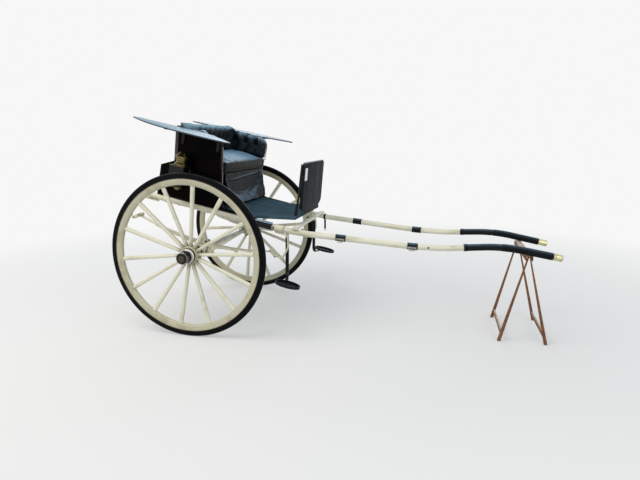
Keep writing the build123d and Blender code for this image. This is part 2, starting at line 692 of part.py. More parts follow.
pad_out = body_in - 2
pad_in = pad_out - ARM_PAD
pad_front = CUSHION_BACK + BACK_PAD
corner_x = pad_front + BACK_CORNER
corner_y = pad_in - BACK_CORNER
slack = PANEL_BACK - BACK_LEAN
with BuildPart() as padding:
    with BuildSketch(Plane.XY.offset(cushion_top + SEAT_GAP)) as plan:
        with BuildLine():
            Polyline((corner_x, -pad_in), (ARM_FRONT, -pad_in), (ARM_FRONT, -pad_out),
                     (slack, -pad_out), (slack, pad_out), (ARM_FRONT, pad_out),
                     (ARM_FRONT, pad_in), (corner_x, pad_in))
            RadiusArc((corner_x, pad_in), (pad_front, corner_y), -BACK_CORNER)
            Line((pad_front, corner_y), (pad_front, -corner_y))
            RadiusArc((pad_front, -corner_y), (corner_x, -pad_in), -BACK_CORNER)
        make_face()
    extrude(amount=BACK_TOP - cushion_top)
    with BuildSketch(side_plane(pad_out + PANEL_T)) as profile:
        with BuildLine():
            # The padding's rear face lies along the leaning back panel
            low, high = [(PANEL_BACK + BACK_T + SEAT_GAP - (up - back_foot) * back_slant, up)
                         for up in (cushion_top, BACK_TOP)]
            Polyline(low, high, (pad_front, BACK_TOP),
                     (pad_front + ARM_SLOPE, ARM_TOP), (ARM_FRONT - ARM_ROUND, ARM_TOP))
            RadiusArc((ARM_FRONT - ARM_ROUND, ARM_TOP), (ARM_FRONT, ARM_TOP - ARM_ROUND), ARM_ROUND)
            Polyline((ARM_FRONT, ARM_TOP - ARM_ROUND), (ARM_FRONT, cushion_top), low)
        make_face()
    extrude(amount=2 * (pad_out + PANEL_T), mode=Mode.INTERSECT)
keep(padding, "seat_back")

with BuildPart() as fall:
    fall_head = SEAT_UP + SEAT_BOARD_T
    fall_foot = FLOOR_UP + FALL_CLEAR
    fall_x = PANEL_FRONT + SEAT_GAP
    with BuildSketch(side_plane(FALL_HALF)):
        with BuildLine():
            middle = ((fall_x + FALL_FOOT_X) / 2, (fall_head + fall_foot) / 2)
            Line((fall_x, fall_head), (fall_x + FALL_T, fall_head))
            ThreePointArc((fall_x + FALL_T, fall_head), (middle[0] + FALL_SWELL + FALL_T, middle[1]),
                          (FALL_FOOT_X + FALL_T, fall_foot))
            Line((FALL_FOOT_X + FALL_T, fall_foot), (FALL_FOOT_X, fall_foot))
            ThreePointArc((FALL_FOOT_X, fall_foot), (middle[0] + FALL_SWELL, middle[1]), (fall_x, fall_head))
        make_face()
    extrude(amount=2 * FALL_HALF)
keep(fall, "seat_fall")

# Dashboard and its irons
dash_lean = degrees(atan((DASH_TOP_UP - DASH_FOOT_UP) / (DASH_FOOT_X - DASH_TOP_X)))
dash_length = sqrt((DASH_TOP_UP - DASH_FOOT_UP)**2 + (DASH_FOOT_X - DASH_TOP_X)**2)
dash_plane = Plane(origin=(DASH_FOOT_X, 0, DASH_FOOT_UP), x_dir=(0, 1, 0),
                   z_dir=(sin(radians(dash_lean)), 0, cos(radians(dash_lean))))
with BuildPart() as dash:
    with BuildSketch(dash_plane) as dash_face:
        with BuildLine():
            ThreePointArc((-DASH_HALF, DASH_SIDE_FOOT), (0, -DASH_BELLY), (DASH_HALF, DASH_SIDE_FOOT))
            Polyline((DASH_HALF, DASH_SIDE_FOOT), (DASH_HALF, dash_length), (-DASH_HALF, dash_length),
                     (-DASH_HALF, DASH_SIDE_FOOT))
        make_face()
        fillet(dash_face.vertices(), DASH_ROUND)
    extrude(amount=DASH_T)
keep(dash, "dashboard")

iron_foot_x = TOE_END_X - DASH_T
toe_top = BODY_FOOT + TOE_T / cos(radians(toe_rise))
iron_foot_up = toe_top + (iron_foot_x + DASH_IRON_R - toe_start) * tan(radians(toe_rise)) + SEAT_GAP
with BuildPart() as dash_irons:
    for hand, side in SIDES:
        edge = side * (DASH_HALF + DASH_IRON_R + SEAT_GAP)
        with BuildLine() as rod:
            Line((iron_foot_x, edge, iron_foot_up),
                 (DASH_TOP_X + DASH_T, edge, DASH_TOP_UP - DASH_IRON_SHORT))
        with BuildSketch(Plane(origin=rod.line @ 0, z_dir=rod.line % 0)):
            Circle(DASH_IRON_R)
        sweep(path=rod.line)
keep(dash_irons, "dash_irons")

# Wings: long boards with swept ends, on irons from the body's sides
for hand, side in SIDES:
    edge = [(x, side * (WING_IN + out)) for x, out in WING_EDGE]
    with BuildPart() as wing:
        with BuildSketch(Plane.XY.offset(WING_UP)):
            with BuildLine():
                Line(edge[0], edge[1])
                ThreePointArc(*edge[1:4])
                ThreePointArc(*edge[3:6])
                Line(edge[5], edge[6])
                ThreePointArc(*edge[6:9])
                ThreePointArc(*edge[8:11])
            make_face()
        extrude(amount=WING_T)
    keep(wing, f"{hand}_wing")

with BuildPart() as wing_irons:
    for hand, side in SIDES:
        for x in WING_IRONS:
            outer = side * (BODY_HALF + SEAT_GAP)
            under = WING_UP - SEAT_GAP
            iron_end = side * (WING_OUT - WING_IRON_SHORT)
            with BuildSketch(Plane.YZ.offset(x)):
                with BuildLine():
                    Polyline((outer, under - WING_IRON_DROP),
                             (outer + side * WING_IRON_T, under - WING_IRON_DROP),
                             (outer + side * WING_IRON_T, under - WING_IRON_T - WING_IRON_KNEE),
                             (outer + side * (WING_IRON_T + WING_IRON_KNEE), under - WING_IRON_T),
                             (iron_end, under - WING_IRON_T), (iron_end, under),
                             (outer + side * WING_IRON_KNEE, under), (outer, under - WING_IRON_KNEE),
                             (outer, under - WING_IRON_DROP))
                make_face()
            extrude(amount=WING_IRON_W)
keep(wing_irons, "wing_irons")

# Lamps: a square case on a bracket, a round chimney above and a candle tube below
lamp_mid = (LAMP_FOOT + LAMP_HEAD) / 2
lamp_high = LAMP_HEAD - LAMP_FOOT
window = LAMP_SIZE - 2 * LAMP_BAR
with BuildPart() as cases:
    for hand, side in SIDES:
        with Locations((LAMP_X, side * LAMP_Y, lamp_mid)):
            Box(LAMP_SIZE, LAMP_SIZE, lamp_high)
            Box(LAMP_SIZE - 2 * LAMP_WALL, LAMP_SIZE - 2 * LAMP_WALL, lamp_high - 2 * LAMP_WALL,
                mode=Mode.SUBTRACT)
            Box(2 * LAMP_SIZE, window, lamp_high - 3 * LAMP_BAR, mode=Mode.SUBTRACT,
                align=(Align.MIN, Align.CENTER, Align.CENTER))
keep(cases, "lamp_cases")

with BuildPart() as glasses:
    for hand, side in SIDES:
        with Locations((LAMP_X + LAMP_SIZE / 2 - LAMP_WALL - SEAT_GAP, side * LAMP_Y, lamp_mid)):
            Box(LAMP_GLASS_T, window + LAMP_LAP, lamp_high - 3 * LAMP_BAR + LAMP_LAP,
                align=(Align.MAX, Align.CENTER, Align.CENTER))
keep(glasses, "lamp_glasses")

with BuildPart() as lamp_brass:
    for hand, side in SIDES:
        with BuildSketch(side_plane(side * LAMP_Y)):
            with BuildLine():
                rings = [(LAMP_X + r, LAMP_HEAD + SEAT_GAP + up) for r, up in CHIMNEY]
                Polyline(*rings, rings[0])
            make_face()
        revolve(axis=Axis((LAMP_X, side * LAMP_Y, 0), (0, 0, 1)))
        with BuildSketch(Plane.XY.offset(LAMP_FOOT - SEAT_GAP - TAIL_H)):
            with Locations((LAMP_X, side * LAMP_Y)):
                Circle(TAIL_R)
        extrude(amount=TAIL_H)
    chamfer(lamp_brass.edges().group_by(Axis.Z)[0], TAIL_R * 0.3)
keep(lamp_brass, "lamp_brass")

with BuildPart() as lamp_brackets:
    bracket_run = LAMP_Y - LAMP_SIZE / 2 - BODY_HALF - 2 * SEAT_GAP
    for hand, side in SIDES:
        with Locations((LAMP_X, side * (BODY_HALF + SEAT_GAP + bracket_run / 2), lamp_mid)):
            Box(LAMP_ARM[0], bracket_run, LAMP_ARM[1])
keep(lamp_brackets, "lamp_brackets")

# Steps: a flat bar hangs from each shaft and bends outward into a rimmed oval tread
step_mid = STEP_UP + STEP_RIM_H / 2
for hand, side in SIDES:
    with BuildPart() as step:
        with BuildSketch(Plane.XY.offset(STEP_UP)):
            with Locations((STEP_X, side * STEP_Y)):
                Ellipse(STEP_LONG / 2, STEP_WIDE / 2)
        extrude(amount=STEP_RIM_H)
        with BuildSketch(Plane.XY.offset(STEP_UP + STEP_PLATE)):
            with Locations((STEP_X, side * STEP_Y)):
                Ellipse(STEP_LONG / 2 - STEP_RIM, STEP_WIDE / 2 - STEP_RIM)
        extrude(amount=STEP_RIM_H, mode=Mode.SUBTRACT)
        with BuildLine() as bar:
            FilletPolyline((STEP_HEAD_X, side * STEP_BAR_Y, POLE_UP - STEP_HEAD_DROP),
                           (STEP_KNEE_X, side * STEP_BAR_Y, step_mid),
                           (STEP_X - STEP_BAR[0], side * (STEP_Y - STEP_WIDE / 2 + STEP_RIM / 2), step_mid),
                           radius=STEP_BEND)
        with BuildSketch(Plane(origin=bar.line @ 0, x_dir=(1, 0, 0), z_dir=bar.line % 0)):
            Rectangle(*STEP_BAR)
        sweep(path=bar.line)
    keep(step, f"{hand}_step")

# Trestle: a capped beam on four splayed legs, each pair tied by a rail near the ground
nose = radians(NOSE_DOWN)
last, end = SHAFT_CORNERS[-2:]
climb = (end[1] - last[1]) / (end[0] - last[0])
toe_cos = cos(radians(SHAFT_TOE_IN))
# Level-frame place on the shaft's last straight that comes to rest over the trestle
u0, w0 = HEEL_X + last[0] * toe_cos, POLE_UP + last[1]
rise = climb / toe_cos
rest_u = (TRESTLE_X - (w0 - rise * u0) * sin(nose)) / (cos(nose) + rise * sin(nose))
rest_w = w0 + rise * (rest_u - u0)
slope = nose - atan(rise)
sleeve_r = POLE_R + SEAT_GAP + SLEEVE_T
rest_up = WHEEL_R - rest_u * sin(nose) + rest_w * cos(nose)
beam_top = rest_up - sleeve_r / cos(slope) - tan(slope) * TRESTLE_BEAM_W / 2 - SEAT_GAP
with BuildPart() as beam:
    with BuildSketch(Plane.XZ.offset(-TRESTLE_HALF)):
        with Locations((TRESTLE_X, beam_top - TRESTLE_BEAM_H / 2)):
            Rectangle(TRESTLE_BEAM_W, TRESTLE_BEAM_H)
            with Locations((0, -TRESTLE_WALL)):
                Rectangle(TRESTLE_BEAM_W - 2 * TRESTLE_WALL, TRESTLE_BEAM_H, mode=Mode.SUBTRACT)
    extrude(amount=2 * TRESTLE_HALF)
keep(beam, "trestle_beam", GROUND)

leg_head = beam_top - TRESTLE_WALL - SEAT_GAP
with BuildPart() as legs:
    for end in (-1, 1):
        for side in (-1, 1):
            foot_at = (TRESTLE_X + end * TRESTLE_FOOT_X, side * TRESTLE_FOOT_Y)
            head_at = (TRESTLE_X + end * TRESTLE_HEAD_X, side * (TRESTLE_HALF - TRESTLE_INSET))
            with BuildSketch(Plane.XY):
                with Locations(foot_at):
                    Rectangle(TRESTLE_LEG, TRESTLE_LEG)
            with BuildSketch(Plane.XY.offset(leg_head)):
                with Locations(head_at):
                    Rectangle(2 * TRESTLE_HEAD_X - 2, TRESTLE_LEG)
            loft()
keep(legs, "trestle_legs", GROUND)

with BuildPart() as rails:
    for end in (-1, 1):
        share = TRESTLE_RAIL_UP / leg_head
        rail_x = TRESTLE_X + end * (TRESTLE_FOOT_X - share * (TRESTLE_FOOT_X - TRESTLE_HEAD_X))
        rail_foot = TRESTLE_RAIL_UP - RAIL_SIZE[1] / 2
        splay = (TRESTLE_HALF - TRESTLE_INSET - TRESTLE_FOOT_Y) * rail_foot / leg_head
        rail_half = TRESTLE_FOOT_Y + splay - TRESTLE_LEG / 2 - SEAT_GAP
        with Locations((rail_x, 0, TRESTLE_RAIL_UP)):
            Box(RAIL_SIZE[0], 2 * rail_half, RAIL_SIZE[1])
keep(rails, "trestle_rails", GROUND)
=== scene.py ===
from math import atan2, cos, exp, pi, radians, sin, sqrt

import bmesh
import bpy
from mathutils import Matrix, Vector, noise


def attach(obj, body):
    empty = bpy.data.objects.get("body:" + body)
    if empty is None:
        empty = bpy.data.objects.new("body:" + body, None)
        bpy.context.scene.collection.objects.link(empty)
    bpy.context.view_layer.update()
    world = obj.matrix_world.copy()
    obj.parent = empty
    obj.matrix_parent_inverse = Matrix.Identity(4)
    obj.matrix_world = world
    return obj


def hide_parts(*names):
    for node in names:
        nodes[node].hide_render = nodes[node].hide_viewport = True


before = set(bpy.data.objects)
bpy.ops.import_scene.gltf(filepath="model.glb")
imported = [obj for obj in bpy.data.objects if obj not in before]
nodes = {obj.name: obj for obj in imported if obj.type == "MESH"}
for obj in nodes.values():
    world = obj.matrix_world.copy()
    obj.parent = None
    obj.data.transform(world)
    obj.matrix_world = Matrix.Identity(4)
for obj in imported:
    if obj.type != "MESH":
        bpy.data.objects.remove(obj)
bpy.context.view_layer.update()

# The gig is drawn level about the middle of its axle and then tipped nose down, as in part.py.
# In that level frame a place is (forward, left, up) from the middle of the axle, in metres.
AXLE_X = -1.1322202
WHEEL_R = 0.685
NOSE_DOWN = radians(12.4)
PARKED = Matrix.Translation((AXLE_X, 0, WHEEL_R)) @ Matrix.Rotation(NOSE_DOWN, 4, "Y")
TRACK = 1.528
WHEELS = (("right", -1, "wheel_right"), ("left", 1, "wheel_left"))

POLE_R = 0.025
POLE_Y = 0.490
POLE_UP = 0.358
HEEL_X = 0.5854
TOE_IN = radians(4.86)
SHAFT_CORNERS = ((0.0, 0.0), (0.255, 0.008), (1.165, 0.122), (1.415, 0.172), (1.840, 0.292), (2.291, 0.307))
SHAFT_BENDS = (1.5, 1.5, 1.2, 1.2)
BANDS = (0.537, 1.121)
BAND_LENGTH = 0.084


def clamp(value):
    return min(1.0, max(0.0, value))


# Colours and materials

def linear(code):
    # Linear colour from an sRGB hex code
    channels = [int(code[i:i + 2], 16) / 255 for i in (1, 3, 5)]
    return tuple(c / 12.92 if c <= 0.04045 else ((c + 0.055) / 1.055) ** 2.4 for c in channels) + (1.0,)


def feed(tree, socket, value):
    # A socket takes a link, an sRGB hex code or a plain value
    if isinstance(value, bpy.types.NodeSocket):
        tree.links.new(value, socket)
    elif value is not None:
        socket.default_value = linear(value) if isinstance(value, str) else value


def add_node(tree, kind, *inputs, out=0, **settings):
    # Adds a node with its settings, fills its inputs in their order (None leaves one alone),
    # and gives one of its outputs
    node = tree.nodes.new("ShaderNode" + kind)
    for name, value in settings.items():
        setattr(node, name, value)
    for socket, value in zip(node.inputs, inputs):
        feed(tree, socket, value)
    return node.outputs[out]


class Finish:
    # One material's node tree, with the patterns that the materials share
    def __init__(self, name, mirror=0.5):
        self.material = bpy.data.materials.new(name)
        self.material.use_nodes = True
        self.tree = self.material.node_tree
        self.tree.nodes.clear()
        self.shader = self.tree.nodes.new("ShaderNodeBsdfPrincipled")
        self.surface = self.tree.nodes.new("ShaderNodeOutputMaterial").inputs[0]
        feed(self.tree, self.surface, self.shader.outputs[0])
        self.place = self.add("TexCoord", out="Object")
        self.set("Specular IOR Level", mirror)

    def add(self, kind, *inputs, out=0, **settings):
        return add_node(self.tree, kind, *inputs, out=out, **settings)

    def set(self, name, value):
        feed(self.tree, self.shader.inputs[name], value)

    def cloud(self, size_mm, detail=4.0, stretch=None):
        # Soft noise whose patches are about size_mm across
        place = self.add("Mapping", self.place, None, None, stretch) if stretch else self.place
        return self.add("TexNoise", place, None, 1000 / size_mm, detail, 0.55)

    def from_axle(self):
        return self.add("VectorMath", self.place, (AXLE_X, 0, WHEEL_R), operation="SUBTRACT")

    def level_up(self):
        # Height above the axle in the level frame
        up = (sin(NOSE_DOWN), 0, cos(NOSE_DOWN))
        return self.add("VectorMath", self.from_axle(), up, operation="DOT_PRODUCT", out="Value")

    def hub_reach(self):
        # Distance from the line on which both wheels turn
        flat = self.add("VectorMath", self.from_axle(), (1, 0, 1), operation="MULTIPLY")
        return self.add("VectorMath", flat, operation="LENGTH", out="Value")

    def upward(self, low=0.3, high=0.95):
        # How far a surface looks at the sky
        normal = self.add("NewGeometry", out="Normal")
        return self.add("MapRange", self.add("SeparateXYZ", normal, out="Z"), low, high)

    def blotches(self, size_mm, detail, low, high, bottom=0.0, top=1.0, stretch=None):
        # That noise from low to high, spread from bottom to top
        return self.add("MapRange", self.cloud(size_mm, detail, stretch), low, high, bottom, top)

    def gloss(self, low, high, size_mm=30):
        # Roughness that wanders between two values
        self.set("Roughness", self.blotches(size_mm, 5, 0.3, 0.7, low, high))

    def relief(self, height, depth_mm):
        self.set("Normal", self.add("Bump", 1.0, depth_mm / 1000, None, height))


def coach_paint(name, base, shade, dust, dust_share, gloss, coat, grime_from=0.52, shine=0.5):
    # Brushed coach paint: the shade gives broad uneven patches, the dust dulls what faces up,
    # and the fine relief gives the faint brush texture seen in its highlights
    f = Finish(name, shine)
    body = f.add("MixRGB", f.blotches(140, 5, grime_from, 0.78), base, shade)
    body = f.add("MixRGB", f.blotches(9, 3, 0.62, 0.74, 0.0, 0.5), body, shade)
    settled = f.blotches(60, 6, 0.35, 0.7, 0.0, dust_share)
    dusty = f.add("Math", f.upward(), settled, operation="MULTIPLY")
    f.set("Base Color", f.add("MixRGB", dusty, body, dust))
    f.gloss(gloss, gloss + 0.14)
    f.set("Coat Weight", coat)
    f.set("Coat Roughness", 0.08)
    f.relief(f.cloud(4, 2), 0.05)
    return f.material


# Paints: the base, the shade of its patches and the dust on it
cream = coach_paint("cream_coach_paint", "#DFDBC4", "#BDB698", "#E9E7D6", 0.5, 0.36, 0.2, shine=0.35)
felloe_cream = coach_paint("cream_felloe_paint", "#BEBAA0", "#A19A7D", "#CFCBB4", 0.4, 0.4, 0.1, shine=0.3)
cream_iron = coach_paint("cream_painted_iron", "#DAD5BC", "#A39B7C", "#E2DFCB", 0.5, 0.42, 0.1, 0.48, 0.35)
black_gloss = coach_paint("black_coach_varnish", "#060709", "#0B0C10", "#38434C", 0.3, 0.16, 0.12, shine=0.25)
black_iron = coach_paint("black_painted_iron", "#090A0C", "#121315", "#3E454B", 0.35, 0.36, 0.05, shine=0.25)
# The socket plates' blue-grey is a painted sky reflection on black paint
plate_painted_reflection = coach_paint("black_plate_painted_sky_reflection", "#7890A4", "#5C7387", "#93A9BA", 0.4, 0.34, 0.2)
near_white = coach_paint("clean_white_enamel", "#F8F7F2", "#ECEAE2", "#F8F7F2", 0.2, 0.35, 0.2)
lamp_black = coach_paint("blue_black_lamp_enamel", "#07090D", "#0E1218", "#3A4550", 0.3, 0.3, 0.1, shine=0.2)
maroon = coach_paint("worn_maroon_edge", "#3A1F1A", "#261310", "#6B4F47", 0.2, 0.3, 0.2)
# The pinkish edge is a painted highlight along each side panel's front edge
pink_edge_highlight = coach_paint("pinkish_painted_edge_highlight", "#7D655E", "#523D38", "#93796F", 0.3, 0.3, 0.2)

# Black steel channel round the rim, with a painted bronze highlight line along its inner lip
f = Finish("black_channel_enamel", 0.1)
ragged = f.blotches(25, 5, 0.3, 0.7, -0.0015, 0.0015)
line = f.add("MapRange", f.add("Math", f.hub_reach(), ragged), 0.6395, 0.6375, 0.0, 0.8)
f.set("Base Color", f.add("MixRGB", line, "#04060A", "#6E5A4A"))
f.gloss(0.3, 0.45)
f.relief(f.cloud(4, 2), 0.05)
channel_black = f.material

# Cream spokes, with old grease and grime where they enter the nave
f = Finish("cream_spoke_paint", 0.35)
ragged = f.blotches(16, 5, 0.3, 0.7, -0.02, 0.02)
grime = f.add("MapRange", f.add("Math", f.hub_reach(), ragged), 0.125, 0.08, 0.0, 0.75)
body = f.add("MixRGB", f.blotches(140, 5, 0.52, 0.78), "#DFDBC4", "#BDB698")
f.set("Base Color", f.add("MixRGB", grime, body, "#8D8466"))
f.gloss(0.36, 0.5)
f.relief(f.cloud(4, 2), 0.05)
spoke_cream = f.material

# Black body panel with a deep maroon tone under the varnish
f = Finish("maroon_black_varnish", 0.03)
f.set("Base Color", f.add("MixRGB", f.blotches(260, 4, 0.4, 0.7), "#020203", "#0C0405"))
f.gloss(0.28, 0.4, 40)
f.relief(f.cloud(70, 2), 0.2)
panel_varnish = f.material

# Black varnish with a painted pale steel-blue sky sheen, in streaks, on what faces upwards
f = Finish("black_varnish_painted_sky_sheen", 0.3)
streaks = f.blotches(120, 4, 0.3, 0.75, stretch=(0.3, 1, 1))
pale = f.add("MixRGB", streaks, "#5F8095", "#7494A8")
f.set("Base Color", f.add("MixRGB", f.upward(0.55, 0.9), "#08090B", pale))
f.set("Roughness", f.add("MapRange", streaks, 0.0, 1.0, 0.3, 0.42))
f.relief(f.cloud(60, 2), 0.1)
painted_sheen_varnish = f.material

# Cream shaft: bare pinkish wood at the worn heel, and grey scuffs along it
f = Finish("cream_shaft_paint", 0.3)
body = f.add("MixRGB", f.blotches(90, 6, 0.5, 0.75, stretch=(0.35, 1, 1)), "#E0DDC8", "#C1BB9E")
scuffs = f.blotches(14, 4, 0.63, 0.72, 0.0, 0.7, stretch=(0.25, 1, 1))
body = f.add("MixRGB", scuffs, body, "#9A937C")
ragged = f.blotches(12, 4, 0.3, 0.7, -0.012, 0.012)
ahead = f.add("Math", f.add("SeparateXYZ", f.place, out="X"), ragged)
f.set("Base Color", f.add("MixRGB", f.add("MapRange", ahead, -0.468, -0.478), body, "#A97F66"))
f.gloss(0.34, 0.5)
f.set("Coat Weight", 0.05)
dents = f.add("Math", scuffs, -1.5, operation="MULTIPLY")
f.relief(f.add("Math", f.cloud(3, 2), dents), 0.12)
shaft_cream = f.material


def leather(name, base, worn, shine, crease_mm, depth_mm, painted_sheen=None, looks=(0.2, 0.9), polish=0.3,
            from_up=None):
    # Hide: cells give the pores, the worn tone shows in patches, the sheen tone is a painted sky reflection
    # on what looks upwards, and the mesh's own crease value paints shade into the bottom of a fold
    f = Finish(name, polish)
    cells = f.add("TexVoronoi", f.place, None, 1000 / crease_mm, feature="DISTANCE_TO_EDGE", out="Distance")
    body = f.add("MixRGB", f.blotches(70, 6, 0.48, 0.75), base, worn)
    # Painted sheen: a paler tone stands for the sky's reflection on what looks upwards
    if painted_sheen:
        patchy = f.blotches(55, 5, 0.3, 0.62, 0.6, 1.0)
        sheen_mask = f.add("Math", f.upward(*looks), patchy, operation="MULTIPLY")
        if from_up:
            high = f.add("MapRange", f.level_up(), from_up - 0.03, from_up + 0.02)
            sheen_mask = f.add("Math", sheen_mask, high, operation="MULTIPLY")
        body = f.add("MixRGB", sheen_mask, body, painted_sheen)
    # The crease value paints shade into the bottom of a fold
    crease = f.add("Attribute", attribute_name="crease", out="Fac")
    f.set("Base Color", f.add("MixRGB", crease, body, "#040506"))
    f.gloss(shine, shine + 0.18, 24)
    f.relief(f.add("Math", f.add("MapRange", cells, 0.0, 0.12), f.cloud(22, 4)), depth_mm)
    return f.material


# Leathers: the base, its worn tone and the tone of its painted sheen (a painted sky reflection)
seat_leather = leather("dark_seat_leather", "#0A1319", "#121D25", 0.32, 3.5, 0.25, "#6E92A6", (-0.1, 0.75),
                       0.2, 0.95)
button_leather = leather("dark_button_leather", "#07090B", "#0C1013", 0.4, 2.0, 0.1, polish=0.2)
cushion_leather = leather("blue_cushion_leather", "#11191F", "#1A252D", 0.32, 3.5, 0.25, "#6A90AB",
                          (0.5, 0.98), 0.2)
piping_leather = leather("piping_leather_painted_sheen", "#26313A", "#3A4852", 0.35, 3.5, 0.15, "#A9BCC6")
front_leather = leather("brownish_grey_leather", "#222423", "#2D2F2D", 0.45, 3.5, 0.3, polish=0.2)
fall_leather = leather("dark_fall_leather", "#10161A", "#171E22", 0.36, 3.5, 0.25, "#54748A",
                       (0.22, 0.62), 0.15)
dash_leather = leather("black_dash_leather", "#10161A", "#192024", 0.5, 3.0, 0.2, polish=0.08)
strap_leather = leather("black_harness_leather", "#080C10", "#12171C", 0.42, 3.0, 0.25, "#4C6474", (0.4, 1.0),
                        0.15)

# Solid black rubber, polished by the road at its crown and dusty in patches
f = Finish("black_tyre_rubber", 0.08)
dust = f.blotches(45, 6, 0.5, 0.8, 0.0, 0.35)
f.set("Base Color", f.add("MixRGB", dust, "#040608", "#11151A"))
f.gloss(0.26, 0.4, 20)
f.relief(f.cloud(3, 3), 0.08)
rubber = f.material


def metal(name, base, dark, rough, spots_mm=16):
    # Bare metal: the dark tone gathers in tarnished spots, which are also duller
    f = Finish(name)
    tarnish = f.blotches(spots_mm, 6, 0.42, 0.72)
    f.set("Base Color", f.add("MixRGB", tarnish, base, dark))
    f.set("Metallic", 1.0)
    f.set("Roughness", f.add("MapRange", tarnish, 0.0, 1.0, rough, rough + 0.25))
    f.relief(f.cloud(3, 3), 0.06)
    return f.material


# Steel that has rusted all over: orange bloom on brown scale, paler in patches on its upward-facing tops
f = Finish("rusty_trestle_steel")
scale = f.blotches(26, 8, 0.35, 0.65)
bloom = f.blotches(7, 6, 0.55, 0.7, 0.0, 0.8)
body = f.add("MixRGB", bloom, f.add("MixRGB", scale, "#5C3A26", "#94613C"), "#A8744A")
pale_top_patches = f.blotches(30, 5, 0.35, 0.6, 0.35, 0.9)
pale = f.add("Math", f.upward(0.6, 0.98), pale_top_patches, operation="MULTIPLY")
f.set("Base Color", f.add("MixRGB", pale, body, "#C4BBAA"))
f.set("Roughness", f.add("MapRange", scale, 0.0, 1.0, 0.7, 0.92))
f.set("Metallic", 0.15)
f.relief(f.add("Math", f.cloud(5, 6), scale), 0.35)
rust = f.material

# Blue-black floor covering with pale foot scuffs along the carriage
f = Finish("blue_black_floor_covering", 0.0)
scuffs = f.blotches(28, 7, 0.58, 0.75, 0.0, 0.55, stretch=(0.4, 1, 1))
body = f.add("MixRGB", f.blotches(110, 5, 0.4, 0.7), "#3E535E", "#4A606B")
f.set("Base Color", f.add("MixRGB", scuffs, body, "#586F7B"))
f.set("Roughness", f.add("MapRange", scuffs, 0.0, 1.0, 0.5, 0.75))
f.relief(f.cloud(5, 4), 0.15)
floor_covering = f.material

# Lamp glass, smoked so that the case behind it reads dark
f = Finish("smoked_lamp_glass")
f.set("Base Color", "#7C8688")
f.set("Transmission Weight", 1.0)
f.set("Roughness", f.blotches(25, 4, 0.4, 0.8, 0.02, 0.12))
f.set("IOR", 1.5)
lamp_glass = f.material

# Black step iron whose head is painted cream with the shaft above it
f = Finish("black_step_paint", 0.2)
cream_part = f.add("MapRange", f.level_up(), 0.298, 0.301)
worn = f.blotches(16, 6, 0.58, 0.72, 0.0, 0.5)
body = f.add("MixRGB", worn, "#0B0F13", "#1C2126")
f.set("Base Color", f.add("MixRGB", cream_part, body, "#D9D4B8"))
f.gloss(0.35, 0.5, 20)
f.relief(f.cloud(4, 3), 0.1)
step_black = f.material

# Metals: the base and its tarnish
brass = metal("aged_brass", "#8E7F52", "#3F3921", 0.26)
tip_brass = metal("pale_tip_brass", "#D8D2A8", "#A39C74", 0.3, 30)
disc_brass = metal("dull_olive_brass", "#58563F", "#3A392B", 0.4, 10)
steel = metal("worn_staple_steel", "#B4B2AB", "#6E6B66", 0.3, 12)
dark_bolt = metal("dark_bolt_iron", "#3A3835", "#221F1D", 0.45, 8)
ring_bright = metal("bright_cap_ring", "#C9CACB", "#8D8E90", 0.18, 20)


# The CAD pieces: a finish for each, with soft edges where they are boxy

def dress(names, material, edge_mm=0.0, crease=38.0):
    # Boxy pieces get soft edges of edge_mm, and round ones are only parted where they crease
    for name in names.split():
        thing = nodes[name]
        mesh = thing.data
        mesh.materials.clear()
        mesh.materials.append(material)
        mesh.polygons.foreach_set("use_smooth", [True] * len(mesh.polygons))
        weld = thing.modifiers.new("joined", "WELD")
        weld.merge_threshold = 0.00002
        if edge_mm:
            flat = thing.modifiers.new("flat", "DECIMATE")
            flat.decimate_type = "DISSOLVE"
            flat.angle_limit = radians(1)
            edge = thing.modifiers.new("edge", "BEVEL")
            edge.width = edge_mm / 1000
            edge.segments = 2
            edge.limit_method = "ANGLE"
            edge.angle_limit = radians(crease)
            edge.harden_normals = True
        else:
            split = thing.modifiers.new("crease", "EDGE_SPLIT")
            split.split_angle = radians(crease)
            split.use_edge_sharp = False


pair = "right_{0} left_{0}".format
dress(pair("wheel_tyre"), rubber, crease=70)
dress(pair("wheel_channel"), channel_black, crease=40)
dress(pair("wheel_felloe"), felloe_cream, crease=50)
dress(pair("wheel_spokes"), spoke_cream, crease=50)
dress(pair("wheel_hoops"), black_iron, crease=40)
dress(pair("wheel_cap"), black_gloss, crease=32)
dress(pair("wheel_disc"), disc_brass, crease=40)
dress("axle", cream_iron, 1.5)
dress(pair("spring"), cream_iron, crease=30)
dress("spring_clips", cream_iron, 1.2)
dress("shackles front_scroll_irons rear_scroll_irons", cream_iron, crease=50)
dress("sills", cream, crease=40)
dress("crossbar right_shaft left_shaft", shaft_cream, crease=40)
dress("shaft_sockets", black_gloss, crease=40)
dress("shaft_leathers shaft_bands hanging_strap", strap_leather, crease=40)
dress("shaft_tips", tip_brass, crease=32)
dress("shaft_staples", steel, crease=50)
dress(pair("side_panel"), panel_varnish, 2.5)
dress("rear_panel back_panel", black_gloss, 2.5)
# The boot's sloping top carries the same painted sky sheen
dress("boot_top", painted_sheen_varnish, 2.5)
dress("seat_board seat_front", black_gloss, 2.0)
dress("floor toe_board", floor_covering, 2.5)
dress("dashboard", dash_leather, 4.0)
dress("dash_irons", black_iron, crease=40)
# The wings carry the painted pale sky sheen on their tops
dress(pair("wing"), painted_sheen_varnish, 3.0)
dress("wing_irons", black_iron, 1.2)
dress("lamp_cases lamp_brackets", lamp_black, 2.0)
dress("lamp_glasses", lamp_glass, 0.5)
dress("lamp_brass", brass, crease=30)
dress(pair("step"), step_black, crease=35)
dress("trestle_beam trestle_legs trestle_rails", rust, 1.5)


# Pieces made here

def new_object(name, data):
    thing = bpy.data.objects.new(name, data)
    bpy.context.scene.collection.objects.link(thing)
    return thing


